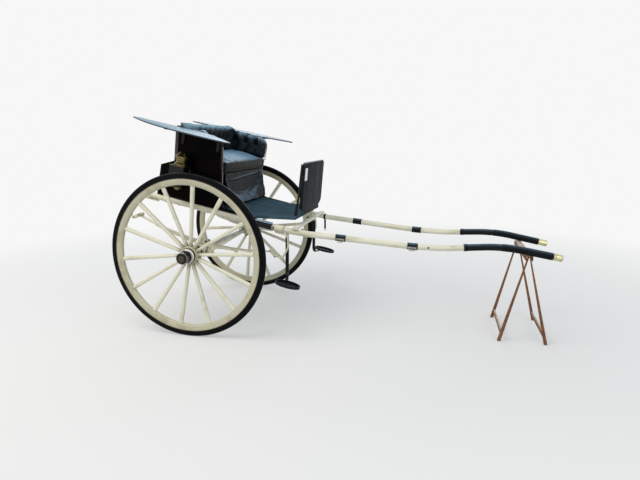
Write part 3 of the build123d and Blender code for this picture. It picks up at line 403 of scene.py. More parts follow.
def finish_piece(bm, name, material, body="gig", angle=35.0, level=True, stands_for=()):
    # A bmesh becomes a piece that rides its body; level says that it was drawn in the level frame
    bmesh.ops.recalc_face_normals(bm, faces=bm.faces)
    mesh = bpy.data.meshes.new(name)
    bm.to_mesh(mesh)
    bm.free()
    if level:
        mesh.transform(PARKED)
    mesh.materials.append(material)
    mesh.polygons.foreach_set("use_smooth", [True] * len(mesh.polygons))
    mesh.set_sharp_from_angle(angle=radians(angle))
    thing = new_object(name, mesh)
    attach(thing, body)
    if stands_for:
        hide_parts(*stands_for)
    return thing


def rounded(corners, radii, step=radians(4)):
    # A path through corners, each rounded by an arc of its radius
    path = [Vector(corners[0])]
    for before, corner, after, radius in zip(corners, corners[1:], corners[2:], radii):
        before, corner, after = Vector(before), Vector(corner), Vector(after)
        one, two = (before - corner).normalized(), (after - corner).normalized()
        half = one.angle(two) / 2
        reach = radius / sin(half) * cos(half)
        middle = corner + (one + two).normalized() * (radius / sin(half))
        start, stop = corner + one * reach, corner + two * reach
        turn = pi - 2 * half
        count = max(2, int(turn / step))
        a, b = start - middle, stop - middle
        for i in range(count + 1):
            share = i / count
            path.append(middle + (a * sin((1 - share) * turn) + b * sin(share * turn)) / sin(turn))
    path.append(Vector(corners[-1]))
    return path


def spots_along(path, closed=False):
    # The direction of a path at each of its points
    count = len(path)
    ways = []
    for i, spot in enumerate(path):
        before = path[i - 1] if i or closed else spot
        after = path[(i + 1) % count] if i < count - 1 or closed else spot
        ways.append((after - before).normalized())
    return ways


def sections(path, half, closed, over, turn):
    # The place and turn of a bar's cross-section at each point of its path; over is what its top
    # looks along, and without it the section is carried on from point to point
    ways = spots_along(path, closed)
    up = Vector((0, 0, 1)) if abs(ways[0].z) < 0.8 else Vector((0, 1, 0))
    result = []
    for i, (spot, way) in enumerate(zip(path, ways)):
        if over is not None:
            up = Vector(over)
        across = up.cross(way).normalized()
        up = way.cross(across).normalized()
        size = half[i] if isinstance(half, list) else half
        turned = Matrix((across, up, way)).transposed().to_4x4()
        scale = Matrix.Diagonal((size[0], size[1], 1.0, 1.0))
        result.append(Matrix.Translation(spot) @ turned @ scale @ Matrix.Rotation(turn, 4, "Z"))
    return result


def ring_edges(verts):
    inside = set(verts)
    return list({e for v in verts for e in v.link_edges if e.other_vert(v) in inside})


def bar(bm, path, half, sides=8, closed=False, over=None):
    # A bar of even section swept along a path; half is its half width and half height
    path = [Vector(p) for p in path]
    turn, grow = (pi / 4, sqrt(2)) if sides == 4 else (0.0, 1.0)
    places = sections(path, half, closed, over, turn)
    ring = bmesh.ops.create_circle(bm, segments=sides, radius=grow, matrix=places[0])["verts"]
    edges = ring_edges(ring)
    first = edges
    here = places[0]
    for place in places[1:] + (places[:1] if closed else []):
        made = bmesh.ops.extrude_edge_only(bm, edges=edges)["geom"]
        verts = [g for g in made if isinstance(g, bmesh.types.BMVert)]
        edges = [g for g in made if isinstance(g, bmesh.types.BMEdge)]
        bmesh.ops.transform(bm, matrix=place @ here.inverted(), verts=verts)
        here = place
    if closed:
        bmesh.ops.remove_doubles(bm, verts=list({v for e in first + edges for v in e.verts}), dist=0.00001)
    else:
        bmesh.ops.contextual_create(bm, geom=first)
        bmesh.ops.contextual_create(bm, geom=edges)


def facing(at, way):
    # A place whose Z looks along way
    return Matrix.Translation(Vector(at)) @ Vector(way).to_track_quat("Z", "Y").to_matrix().to_4x4()


def stack(bm, at, way, radius, height, rows):
    # Cones on one another along way; a row has its sides, low and high radius, foot and height, as shares
    place = facing(at, way)
    for sides, low, high, foot, tall in rows:
        middle = place @ Matrix.Translation((0, 0, height * (foot + tall / 2)))
        bmesh.ops.create_cone(bm, cap_ends=True, segments=sides, radius1=radius * low, radius2=radius * high,
                              depth=height * tall, matrix=middle)


def bolt(bm, at, way, radius, height):
    # A nut on a thin washer, with the bolt's end standing out of it
    stack(bm, at, way, radius, height, ((12, 1.45, 1.4, 0.0, 0.22), (6, 1.0, 0.94, 0.0, 1.0),
                                        (10, 0.5, 0.36, 0.8, 0.6)))


def dome(bm, at, way, radius, height, sides=12):
    # A round head: a flat cone with a smaller one on it
    stack(bm, at, way, radius, height, ((sides, 1.0, 0.82, 0.0, 0.55), (sides, 0.82, 0.4, 0.55, 0.35)))


def hoop(bm, middle, way, radius, thick, steps=48, sides=8):
    # A ring of round wire about way
    place = facing(middle, way)
    path = [place @ Vector((radius * cos(2 * pi * i / steps), radius * sin(2 * pi * i / steps), 0))
            for i in range(steps)]
    bar(bm, path, (thick, thick), sides, closed=True, over=Vector(way))


def slab(bm, at, size, turn=None):
    # A box with its middle at a place; turn is a rotation matrix
    place = Matrix.Translation(Vector(at)) @ (turn or Matrix.Identity(4)) @ Matrix.Diagonal((*size, 1.0))
    bmesh.ops.create_cube(bm, size=1.0, matrix=place)


def edge_soft(thing, width_mm):
    soft = thing.modifiers.new("edge", "BEVEL")
    soft.width = width_mm / 1000
    soft.segments = 2
    soft.limit_method = "ANGLE"
    soft.angle_limit = radians(35)
    soft.harden_normals = True


# Seat: the CAD's plain solids are copied, remeshed, puffed up by a cloth simulation and then tufted

CUSHION_TOP = 0.7903
CUSHION_FRONT = 0.104
CUSHION_HALF = 0.4782
SEAT_BOARD_TOP = 0.690
BACK_FACE = -0.288
CORNER_X = -0.198
CORNER_Y = 0.3257
CORNER_R = 0.09
ARM_FACE = 0.4157
AISLE = 0.408

# The grid on which the padding is remeshed
VOXEL = 0.006

# The pleats: their pitch round the seat, where they stop on the arms, and their heights and depths
PITCH = 0.109
PLEATS_END = 0.69
BUTTON_UP = 0.92
BUTTON_DEPTH = 0.022
CREST = 0.014
GROOVE = 0.026
PIT_DEPTH = 0.018
PIT_R = 0.019


def padded_copy(name, source, shrink, cap, smooth):
    # A padded form grown from a CAD solid in the level frame: shrunk, then puffed by no more than cap
    bm = bmesh.new()
    bm.from_mesh(nodes[source].data)
    bmesh.ops.remove_doubles(bm, verts=bm.verts, dist=0.00002)
    bmesh.ops.recalc_face_normals(bm, faces=bm.faces)
    mesh = bpy.data.meshes.new(name)
    bm.to_mesh(mesh)
    bm.free()
    mesh.transform(PARKED.inverted())
    thing = new_object(name, mesh)
    grid = thing.modifiers.new("grid", "REMESH")
    grid.mode = "VOXEL"
    grid.voxel_size = VOXEL
    settle(thing)
    bm = bmesh.new()
    bm.from_mesh(thing.data)
    for _ in range(smooth):
        bmesh.ops.smooth_vert(bm, verts=bm.verts, factor=0.5, use_axis_x=True, use_axis_y=True,
                              use_axis_z=True)
    bm.normal_update()
    for v in bm.verts:
        v.co -= v.normal * shrink
    bm.to_mesh(thing.data)
    bm.free()
    rest = [v.co.copy() for v in thing.data.vertices]
    cloth = thing.modifiers.new("puff", "CLOTH")
    cloth.settings.use_pressure = True
    cloth.settings.uniform_pressure_force = 4.0
    cloth.settings.effector_weights.gravity = 0.0
    for number in range(1, 21):
        bpy.context.scene.frame_set(number)
    settle(thing)
    for v, start in zip(thing.data.vertices, rest):
        moved = v.co - start
        if moved.length > cap:
            v.co = start + moved * (cap / moved.length)
    return thing


def settle(thing):
    # The object's modifiers become its mesh
    graph = bpy.context.evaluated_depsgraph_get()
    graph.update()
    made = bpy.data.meshes.new_from_object(thing.evaluated_get(graph))
    thing.modifiers.clear()
    thing.data = made


def round_seat(ahead, across):
    # Distance round the seat's inside from its middle, and the way its padding faces there
    out = abs(across)
    side = 1 if across >= 0 else -1
    if ahead >= CORNER_X:
        return CORNER_Y + CORNER_R * pi / 2 + ahead - CORNER_X, Vector((0, -side, 0))
    if out <= CORNER_Y:
        return out, Vector((1, 0, 0))
    angle = atan2(out - CORNER_Y, CORNER_X - ahead)
    return CORNER_Y + CORNER_R * angle, Vector((cos(angle), -side * sin(angle), 0))


def reshape(thing, move):
    # Moves every point of a padded form by a rule of its place and its normal
    bm = bmesh.new()
    bm.from_mesh(thing.data)
    bm.normal_update()
    moved = [(v, move(v.co, v.normal)) for v in bm.verts]
    for v, co in moved:
        v.co = co
    bmesh.ops.recalc_face_normals(bm, faces=bm.faces)
    bm.to_mesh(thing.data)
    bm.free()


painted_groove_shade = []


def tuft(co, normal):
    # Upright pleats with swollen crests, deep grooves and a pit at each button, in what faces the sitter
    along, inward = round_seat(co.x, co.y)
    looks = max(0.0, normal.dot(inward))
    lid = max(0.0, normal.z)
    share = min(1.0, looks * 1.3 + lid)
    if share <= 0.0 or co.z < CUSHION_TOP + 0.006:
        painted_groove_shade.append(0.0)
        return co
    swell = clamp((PLEATS_END - along) / 0.02) * (1.0 - 0.35 * clamp((BUTTON_UP - co.z) / 0.05))
    crest = abs(sin(pi * along / PITCH)) ** 0.6
    off = along - round(along / PITCH) * PITCH
    pit = exp(-(off ** 2 + (co.z - BUTTON_UP) ** 2) / PIT_R ** 2) * looks
    depth = swell * (CREST * crest - GROOVE * (1.0 + 0.45 * lid) * (1 - crest) - PIT_DEPTH * pit)
    wrinkle = noise.noise(co * 24) * 0.0022 + noise.noise(co * 60) * 0.0009
    # Painted shade: the crease value is darkest in the grooves and in the pit at each button
    painted_groove_shade.append(share * min(1.0, swell * ((1 - crest) ** 1.2 * 1.1 + pit * 0.9)))
    return co + normal * (depth + wrinkle) * share


def short_arm(co):
    # The right arm's padding stops behind the front edge of its panel, and its top falls away there
    inner, fold, kept = -0.30, -0.10, 0.64
    if co.y > inner:
        return co
    out = co.copy()
    if co.x > fold:
        out.x = fold + (co.x - fold) * kept
    fall = clamp((out.x + 0.14) / 0.10) * clamp((co.z - 0.86) / 0.10)
    out.z -= 0.036 * fall * min(1.0, (inner - co.y) / 0.06)
    return out


back = padded_copy("seat_back_tufted", "seat_back", shrink=0.007, cap=0.010, smooth=6)
reshape(back, lambda co, normal: short_arm(tuft(co, normal)))
# The painted groove shade becomes the mesh's crease value, which the leather paints as shade
back.data.attributes.new("crease", "FLOAT", "POINT").data.foreach_set("value", painted_groove_shade)

# The cushion: how far its middle rises, its crossing creases (slope and shift) and its border's groove
RISE = 0.020
CROSS_CREASES = ((0.55, 0.0), (-0.55, 0.03), (0.5, 0.16), (-0.5, -0.17), (0.1, 0.06))
BORDER_UP = 0.716


def crown(co, normal):
    # The cushion's top rises where nothing lies on it, and creases run across it
    open_x = clamp((co.x - BACK_FACE) / 0.05)
    open_y = clamp((AISLE - abs(co.y)) / 0.05)
    clear = open_x * open_y
    middle = (co.x + 0.127) / 0.223
    rise = RISE * (1 - min(1.0, middle * middle)) * clear + 0.003 * clear
    cross = 0.0
    for slope, shift in CROSS_CREASES:
        reach = co.x + 0.12 - slope * (co.y - shift)
        cross += exp(-(reach / 0.007) ** 2) * (0.5 + 0.5 * noise.noise(Vector((co.y * 5, slope * 9, 0))))
    soft = noise.noise(co * 13) * 0.005 + noise.noise(co * 34) * 0.0016
    out = co + Vector((0, 0, max(0.0, normal.z) * (rise + (soft - 0.0045 * cross) * clear)))
    front = max(0.0, normal.x)
    out.x += front * (0.004 + noise.noise(co * 11) * 0.004 - 0.004 * abs(co.y / 0.474) ** 6)
    out.x -= front * 0.0035 * exp(-((co.z - BORDER_UP) / 0.004) ** 2)
    if not clear:
        out.z = min(out.z, CUSHION_TOP - 0.0006)
    out.x = min(out.x, CUSHION_FRONT)
    out.y = max(-CUSHION_HALF, min(CUSHION_HALF, out.y))
    out.z = max(out.z, SEAT_BOARD_TOP + 0.0004)
    return out


cushion = padded_copy("seat_cushion_stuffed", "seat_cushion", shrink=0.004, cap=0.005, smooth=3)
reshape(cushion, crown)

for thing, source, fill in ((back, "seat_back", 0.9), (cushion, "seat_cushion", 0.75)):
    mesh = thing.data
    mesh.transform(PARKED)
    mesh.materials.clear()
    mesh.materials.append(cushion_leather if thing is cushion else seat_leather)
    mesh.polygons.foreach_set("use_smooth", [True] * len(mesh.polygons))
    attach(thing, "gig")
    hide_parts(source)

# The cushion's front is a separate brownish strip of hide
cushion.data.materials.append(front_leather)
for face in cushion.data.polygons:
    spot = PARKED.inverted() @ face.center
    way = PARKED.to_3x3().inverted() @ face.normal
    if way.x > 0.6 and spot.x > 0.05 and spot.z < 0.783:
        face.material_index = 1

# A button pulls the tufting in at the top of each groove
bm = bmesh.new()
for side in (-1, 1):
    for number in range(0 if side < 0 else 1, int(PLEATS_END / PITCH) + 1):
        along = number * PITCH
        if along <= CORNER_Y:
            spot, way = Vector((BACK_FACE - BUTTON_DEPTH, side * along, BUTTON_UP)), Vector((1, 0, 0))
        elif along <= CORNER_Y + CORNER_R * pi / 2:
            angle = (along - CORNER_Y) / CORNER_R
            reach = CORNER_R + BUTTON_DEPTH
            way = Vector((cos(angle), -side * sin(angle), 0))
            spot = Vector((CORNER_X - reach * cos(angle), side * (CORNER_Y + reach * sin(angle)), BUTTON_UP))
        else:
            ahead = CORNER_X + along - CORNER_Y - CORNER_R * pi / 2
            spot, way = Vector((ahead, side * (ARM_FACE + BUTTON_DEPTH), BUTTON_UP)), Vector((0, -side, 0))
        dome(bm, short_arm(spot), way, 0.0085, 0.007, 10)
finish_piece(bm, "seat_buttons", button_leather)

# Piping along each arm's top and down its front
PIPING_Y = 0.461
PIPING_UP = 0.9955
PIPING_FRONT = 0.0935
bm = bmesh.new()
for side in (-1, 1):
    y = side * PIPING_Y
    corners = [(-0.26, y, PIPING_UP), (PIPING_FRONT, y, PIPING_UP), (PIPING_FRONT, y, CUSHION_TOP - 0.0013)]
    bar(bm, [short_arm(spot) for spot in rounded(corners, (0.102,))], (0.0035, 0.0035), 8)
finish_piece(bm, "seat_back_piping", piping_leather)
bm = bmesh.new()
for height in (CUSHION_TOP - 0.0058, BORDER_UP):
    bar(bm, [(0.098, -0.468 + 0.936 * i / 40, height + 0.0012 * sin(i * 1.7)) for i in range(41)],
        (0.0032, 0.0032), 8)
finish_piece(bm, "cushion_piping", front_leather)


# Seat fall: a leather apron gathered at its top corners, so that folds hang in U shapes between them

FALL_HALF = 0.440
FALL_HEAD = (0.0763, 0.688)
FALL_FOOT = (0.172, 0.436)


def fall_place(t, drop):
    # t runs across from -1 to 1, and drop down from 0 to 1. The pouch hangs steeply down to its U-shaped
    # edge, and the skirt under it slopes out to the hem.
    across = min(1.0, abs(t + 0.1) / 0.98)
    edge = 0.04 + 0.66 * (1 - across ** 3)
    share = drop / edge
    reach = FALL_FOOT[0] - FALL_HEAD[0]
    if share < 1.0:
        ahead = 0.006 + 0.30 * reach * edge * share ** 1.5
        loose = 0.0
    else:
        loose = min(1.0, (drop - edge) / 0.10)
        below = (drop - edge) / max(0.001, 1 - edge)
        ahead = 0.006 + 0.30 * reach * edge - 0.013 * min(1.0, (share - 1) / 0.10) * (1 - across ** 4)
        ahead += (reach - ahead) * below ** 0.8
    ridge = 0.175 - 0.08 * t
    ahead += 0.011 * exp(-((drop - ridge) / 0.024) ** 2) * max(0.0, 1 - (abs(t) / 0.86) ** 6)
    corner = 1 - abs(t)
    turn = atan2(drop * 0.26, corner * FALL_HALF + 0.01)
    far = min(1.0, sqrt(drop * drop + corner * corner) / 0.25)
    crinkle = 0.0045 * sin(turn * 17 + 1.5 * sin(drop * 9))
    crinkle += 0.004 * noise.noise(Vector((t * 9, drop * 7, 1.3)))
    ahead += crinkle * far * loose + 0.0015 * noise.noise(Vector((t * 5, drop * 4, 1.3)))
    ahead = FALL_HEAD[0] + ahead * min(1.0, drop / 0.03)
    up = FALL_HEAD[1] + (FALL_FOOT[1] - FALL_HEAD[1]) * drop - 0.010 * drop * (1 - t * t)
    return Vector((ahead, t * FALL_HALF, up))


bm = bmesh.new()
for v in bmesh.ops.create_grid(bm, x_segments=132, y_segments=60, size=1.0)["verts"]:
    v.co = fall_place(v.co.x, (1 - v.co.y) / 2)
fall = finish_piece(bm, "seat_fall_drape", fall_leather, angle=180,
                    stands_for=("seat_fall",))
thick = fall.modifiers.new("thick", "SOLIDIFY")
thick.thickness = 0.0024
thick.offset = 0.0

# The strip that nails the fall to the seat board, with its row of nails
STRIP_AHEAD = 0.0795
STRIP_UP = 0.6815
NAILS = 23
bm = bmesh.new()
bar(bm, [(STRIP_AHEAD, -FALL_HALF, STRIP_UP), (STRIP_AHEAD, FALL_HALF, STRIP_UP)], (0.0022, 0.007), 4,
    over=(0, 0, 1))
finish_piece(bm, "fall_strip", front_leather)
bm = bmesh.new()
for i in range(NAILS):
    y = (FALL_HALF - 0.01) * (2 * i / (NAILS - 1) - 1)
    dome(bm, (STRIP_AHEAD + 0.0022, y, STRIP_UP), (1, 0, 0), 0.0035, 0.0025, 8)
finish_piece(bm, "fall_nails", brass)


def arc(a, b, c, count=12):
    # Points on the circle through three places
    ax, ay, bx, by, cx, cy = *a, *b, *c
    d = 2 * (ax * (by - cy) + bx * (cy - ay) + cx * (ay - by))
    ux = ((ax**2 + ay**2) * (by - cy) + (bx**2 + by**2) * (cy - ay) + (cx**2 + cy**2) * (ay - by)) / d
    uy = ((ax**2 + ay**2) * (cx - bx) + (bx**2 + by**2) * (ax - cx) + (cx**2 + cy**2) * (bx - ax)) / d
    start = atan2(ay - uy, ax - ux)
    turn = (atan2(cy - uy, cx - ux) - start + pi) % (2 * pi) - pi
    radius = sqrt((ax - ux) ** 2 + (ay - uy) ** 2)
    return [(ux + radius * cos(start + turn * i / count), uy + radius * sin(start + turn * i / count))
            for i in range(count)]


# Dashboard: binding, seams, blank plate, collars on its irons, and a stay and a knob at each side

DASH_FOOT = Vector((0.752, 0.0, 0.500))
DASH_TOP = Vector((0.698, 0.0, 0.920))
DASH_UP = (DASH_TOP - DASH_FOOT).normalized()
DASH_OUT = Vector((DASH_UP.z, 0, -DASH_UP.x))
DASH_T = 0.022
DASH_LONG = (DASH_TOP - DASH_FOOT).length
DASH_HALF = 0.345
DASH_SIDE_FOOT = 0.042
DASH_BELLY = 0.028


def on_dash(across, up, proud=0.0):
    return DASH_FOOT + DASH_UP * up + Vector((0, across, 0)) + DASH_OUT * proud


belly = arc((DASH_HALF, DASH_SIDE_FOOT), (0.0, -DASH_BELLY), (-DASH_HALF, DASH_SIDE_FOOT), 30)
belly = [spot for spot in belly if abs(spot[0]) < DASH_HALF - 0.025]
edge = rounded([(0, DASH_LONG, 0), (DASH_HALF, DASH_LONG, 0), (DASH_HALF, DASH_SIDE_FOOT, 0), (*belly[0], 0)],
               (0.040, 0.040), radians(12))
outline = [(v.x, v.y) for v in edge] + belly[1:-1] + [(-v.x, v.y) for v in reversed(edge[1:])]
bm = bmesh.new()
bar(bm, [on_dash(x, y, DASH_T / 2) for x, y in outline], (DASH_T / 2 + 0.0022, 0.0028), 8, closed=True)
finish_piece(bm, "dash_binding", strap_leather)
bm = bmesh.new()
for across in (-0.250, 0.030, 0.250):
    for proud in (DASH_T + 0.0002, -0.0002):
        bar(bm, [on_dash(across, 0.040 + (DASH_LONG - 0.052) * i / 20, proud) for i in range(21)],
            (0.0042, 0.0016), 8, over=DASH_OUT)
finish_piece(bm, "dash_seams", dash_leather)
bm = bmesh.new()
turned = Matrix((Vector((0, 1, 0)), DASH_UP, DASH_OUT)).transposed().to_4x4()
slab(bm, on_dash(-0.298, DASH_LONG - 0.096, DASH_T + 0.0022), (0.074, 0.105, 0.002), turned)
plate = finish_piece(bm, "blank_plate", near_white)
edge_soft(plate, 0.6)

IRON_Y = 0.3533
STAY = ((0.7405, 0.3620, 0.4740), (0.7160, 0.3590, 0.690), (0.6960, 0.3570, 0.905))
bm, stays, knobs = bmesh.new(), bmesh.new(), bmesh.new()
for side in (-1, 1):
    foot = Vector((0.735, side * IRON_Y, 0.480))
    head = Vector((0.722, side * IRON_Y, 0.808))
    for share in (0.05, 0.48, 0.93):
        hoop(bm, foot.lerp(head, share), head - foot, 0.0085, 0.003, 20, 6)
    dome(bm, head, head - foot, 0.0088, 0.008)
    bar(stays, [(x, side * y, z) for x, y, z in STAY], (0.0080, 0.0080), 12)
    dome(stays, (0.6958, side * 0.3570, 0.9045), DASH_UP, 0.0084, 0.006)
    dome(knobs, on_dash(side * 0.322, DASH_LONG + 0.0015, DASH_T / 2), DASH_UP, 0.0065, 0.008)
finish_piece(bm, "dash_iron_collars", black_iron)
finish_piece(stays, "dash_edge_stays", black_iron)
finish_piece(knobs, "dash_knobs", ring_bright)


# Wings: two thin beads round the edge, and the bolts that hold the irons. The edge's corners are as in
# part.py, each forward and outward from WING_IN.

WING_EDGE = ((-0.735, 0.0), (-0.130, 0.0), (0.030, 0.120), (0.205, 0.292), (0.236, 0.338), (0.190, 0.378),
             (-0.030, 0.374), (-0.480, 0.262), (-0.745, 0.062), (-0.775, 0.018))
WING_IN = 0.502
WING_UP = 0.980
WING_T = 0.009
WING_BEAD = 0.0022

e = WING_EDGE
wing_line = [e[0]] + arc(e[1], e[2], e[3]) + arc(e[3], e[4], e[5], 6)
wing_line += [e[5]] + arc(e[6], e[7], e[8], 14) + arc(e[8], e[9], e[0], 10)
bm = bmesh.new()
for side in (-1, 1):
    for height in (WING_UP + 0.0015, WING_UP + WING_T - 0.0015):
        line = [(x, side * (WING_IN + out), height) for x, out in wing_line]
        bar(bm, line, (WING_BEAD, WING_BEAD), 6, closed=True, over=(0, 0, 1))
finish_piece(bm, "wing_beads", painted_sheen_varnish, angle=60)
bm = bmesh.new()
for side in (-1, 1):
    for x, outward in ((-0.317, (0.54, 0.66, 0.78)), (0.003, (0.64, 0.72, 0.79))):
        for y in outward:
            dome(bm, (x, side * y, WING_UP + WING_T - 0.0003), (0, 0, 1), 0.0065, 0.0028)
        for drop in (0.07, 0.105):
            bolt(bm, (x, side * 0.5073, WING_UP - drop), (0, side, 0), 0.005, 0.006)
finish_piece(bm, "wing_bolts", black_iron)


# Body: mouldings along the side panels' edges, a worn strip at their rear, and a painted highlight strip at
# their front

PANEL_Y = 0.5006
STRIP_Y = 0.490
BEAD = (0.006, 0.0022)
SWEEP_R = 0.091
bm = bmesh.new()
for side in (-1, 1):
    y = side * PANEL_Y
    front = rounded([(-0.388, y, 0.949), (0.0265, y, 0.949), (0.0985, y, 0.4945)], (0.031,))
    sweep = [Vector((0.190 - SWEEP_R * cos(radians(8 * i)), y, 0.4913 - SWEEP_R * sin(radians(8 * i))))
             for i in range(1, 9)]
    bar(bm, front + sweep, BEAD, 8, over=(0, 1, 0))
finish_piece(bm, "panel_front_moulding", black_gloss, angle=60)
rear, edge, foot = bmesh.new(), bmesh.new(), bmesh.new()
for side in (-1, 1):
    y = side * PANEL_Y
    bar(rear, [(-0.3575, y, 0.712), (-0.3790, y, 0.949)], (0.0130, 0.0018), 8, over=(0, 1, 0))
    # The front strip's pinkish colour is a painted highlight along the panel's front edge
    bar(edge, [(0.1045, side * STRIP_Y, 0.505), (0.0418, side * STRIP_Y, 0.905)], (0.0095, 0.0016), 8,
        over=(1, 0, 0))
    bar(foot, [(-0.482, y, 0.392), (0.418, y, 0.392)], (0.0022, 0.006), 8, over=(0, 1, 0))
    bar(foot, [(-0.482, y, 0.392), (-0.482, y, 0.640)], BEAD, 8, over=(0, 1, 0))
finish_piece(rear, "panel_rear_strips", maroon, angle=60)
finish_piece(edge, "panel_front_strips", pink_edge_highlight, angle=60)
finish_piece(foot, "body_mouldings", black_gloss, angle=60)


# Floor: ribs across the toe board's covering

toe_way = Vector((0.745 - 0.425, 0, 0.470 - 0.403)).normalized()
toe_over = Vector((-toe_way.z, 0, toe_way.x))
toe_head = Vector((0.4243, 0, 0.4122)) + toe_way * 0.004
RIB_HALF = Vector((0, 0.40, 0))
bm = bmesh.new()
for i in range(9):
    middle = toe_head + toe_way * (0.03 + 0.033 * i)
    bar(bm, [middle - RIB_HALF, middle + RIB_HALF], (0.003, 0.0016), 6, over=toe_over)
finish_piece(bm, "toe_board_ribs", floor_covering)


# Lamps: brass bezels and rings on each, and dark discs round its chimney that stand for its vent holes as
# painted shade

LAMP = (-0.262, 0.588)
LAMP_BEZEL = 0.0655
LAMP_FACE = 0.0642
LAMP_MIDDLE = 0.601
LAMP_RINGS = ((0.7035, 0.0505), (0.7545, 0.0505), (0.7665, 0.0505), (0.797, 0.013), (0.4845, 0.0165),
              (0.4965, 0.0232), (0.508, 0.0232))
CORNERS = ((1, 1), (-1, 1), (-1, -1), (1, -1))
bm, vent_shade_discs = bmesh.new(), bmesh.new()
for side in (-1, 1):
    middle = Vector((LAMP[0], side * LAMP[1], 0.0))
    for height in (0.514, 0.688):
        square = [middle + Vector((x * LAMP_BEZEL, y * LAMP_BEZEL, height)) for x, y in CORNERS]
        bar(bm, square, (0.0022, 0.0022), 6, closed=True, over=(0, 0, 1))
    for height, radius in LAMP_RINGS:
        hoop(bm, middle + Vector((0, 0, height)), (0, 0, 1), radius, 0.0016, 40, 6)
    for i in range(12):
        way = Vector((cos(pi * i / 6), sin(pi * i / 6), 0))
        dome(vent_shade_discs, middle + way * 0.0378 + Vector((0, 0, 0.733)), way, 0.0055, 0.0016, 10)
    middle.z = LAMP_MIDDLE
    window = [middle + Vector((LAMP_FACE, y * 0.048, z * 0.064)) for y, z in CORNERS]
    bar(bm, window, (0.0018, 0.0035), 6, closed=True, over=(1, 0, 0))
    hoop(bm, middle + Vector((0, side * LAMP_FACE, 0)), (0, side, 0), 0.030, 0.0025, 40, 8)
    hoop(bm, middle - Vector((LAMP_FACE, 0, 0)), (-1, 0, 0), 0.018, 0.0022, 32, 8)
finish_piece(bm, "lamp_rims", brass)
finish_piece(vent_shade_discs, "lamp_vent_shade_discs", dark_bolt)


# Wheels: bright rings on the cap, screws in its disc, a white band on the nave, and rivets in the rim

CAP_RINGS = ((0.0092, 0.0533), (0.0172, 0.0533), (0.0815, 0.0473), (0.0882, 0.0437))
DISC_AT = 0.0945
BAND_AT = -0.0138
BAND_R = 0.0600
NAVE_RINGS = (-0.0805, -0.0395)
RIVETS = 28
RIVET_REACH = 0.6215
RIM_HALF = 0.0190


def at_hub(side, axial, radius=0.0, angle=0.0):
    # A place round a wheel's middle, axial metres further out
    return Vector((AXLE_X + cos(angle) * radius, side * (TRACK / 2 + axial), WHEEL_R + sin(angle) * radius))


for hand, side, body in WHEELS:
    out = Vector((0, side, 0))
    bm = bmesh.new()
    for axial, radius in CAP_RINGS:
        hoop(bm, at_hub(side, axial), out, radius, 0.0018, 48, 6)
    finish_piece(bm, f"{hand}_cap_rings", ring_bright, body, level=False)
    bm = bmesh.new()
    for i in range(3):
        dome(bm, at_hub(side, DISC_AT, 0.017, 2 * pi * i / 3 + 0.4), out, 0.0032, 0.002, 10)
    hoop(bm, at_hub(side, DISC_AT), out, 0.0235, 0.0011, 36, 6)
    finish_piece(bm, f"{hand}_disc_screws", disc_brass, body, level=False)
    bm = bmesh.new()
    for axial in NAVE_RINGS:
        hoop(bm, at_hub(side, axial), out, 0.0755, 0.0016, 48, 6)
    finish_piece(bm, f"{hand}_nave_rings", cream, body, level=False, angle=60)
    bm = bmesh.new()
    radii = (BAND_R - 0.0012, BAND_R, BAND_R, BAND_R - 0.0012)
    line = [at_hub(side, BAND_AT + along) for along in (0.0, 0.0012, 0.0185, 0.0197)]
    bar(bm, line, [(r, r) for r in radii], 48)
    finish_piece(bm, f"{hand}_nave_band", near_white, body, level=False, angle=50)
    bm = bmesh.new()
    for i in range(RIVETS):
        for face in (1, -1):
            spot = at_hub(side, face * RIM_HALF, RIVET_REACH, 2 * pi * (i + 0.5) / RIVETS)
            dome(bm, spot, out * face, 0.0042, 0.0022, 10)
    finish_piece(bm, f"{hand}_rim_rivets", cream_iron, body, level=False)


# Springs, shackles and sills: nuts on the pins and clips, bolt ends under the sills

SHACKLE_PINS = ((0.618, 0.164), (0.666, 0.130))
SILL_BOLTS = (-0.54, -0.40, -0.27, -0.14, 0.0, 0.14, 0.27, 0.39)
CLIP_X = 0.03894
CLIP_OUT = 0.0305
bm, ends = bmesh.new(), bmesh.new()
for side in (-1, 1):
    for end in (-1, 1):
        for x, up in SHACKLE_PINS:
            for cheek in (-1, 1):
                spot = Vector((end * x, side * POLE_Y + cheek * 0.0294, up))
                bolt(bm, spot, (0, cheek, 0), 0.0095, 0.008)
                dome(ends, spot + Vector((0, cheek * 0.0105, 0)), (0, cheek, 0), 0.0052, 0.003, 10)
finish_piece(bm, "shackle_nuts", cream_iron)
finish_piece(ends, "shackle_pin_ends", dark_bolt)
bm = bmesh.new()
for side in (-1, 1):
    for x in SILL_BOLTS:
        dome(bm, (x, side * POLE_Y, POLE_UP - POLE_R + 0.0006), (0, 0, -1), 0.0075, 0.006)
finish_piece(bm, "sill_bolts", dark_bolt)
bm = bmesh.new()
for side in (-1, 1):
    for x in (-CLIP_X, CLIP_X):
        for cheek in (-1, 1):
            bolt(bm, (x, side * POLE_Y + cheek * CLIP_OUT, -0.0365), (0, 0, -1), 0.0075, 0.010)
            bolt(bm, (x, side * POLE_Y + cheek * CLIP_OUT, 0.0875), (0, 0, 1), 0.0075, 0.010)
finish_piece(bm, "clip_nuts", dark_bolt)


# Shafts: a path along each, for what is fixed round it

def shaft_path(side):
    ahead, across = cos(TOE_IN), -side * sin(TOE_IN)
    corners = [(HEEL_X + x * ahead, side * POLE_Y + x * across, POLE_UP + up) for x, up in SHAFT_CORNERS]
    return rounded(corners, SHAFT_BENDS, radians(1.2))


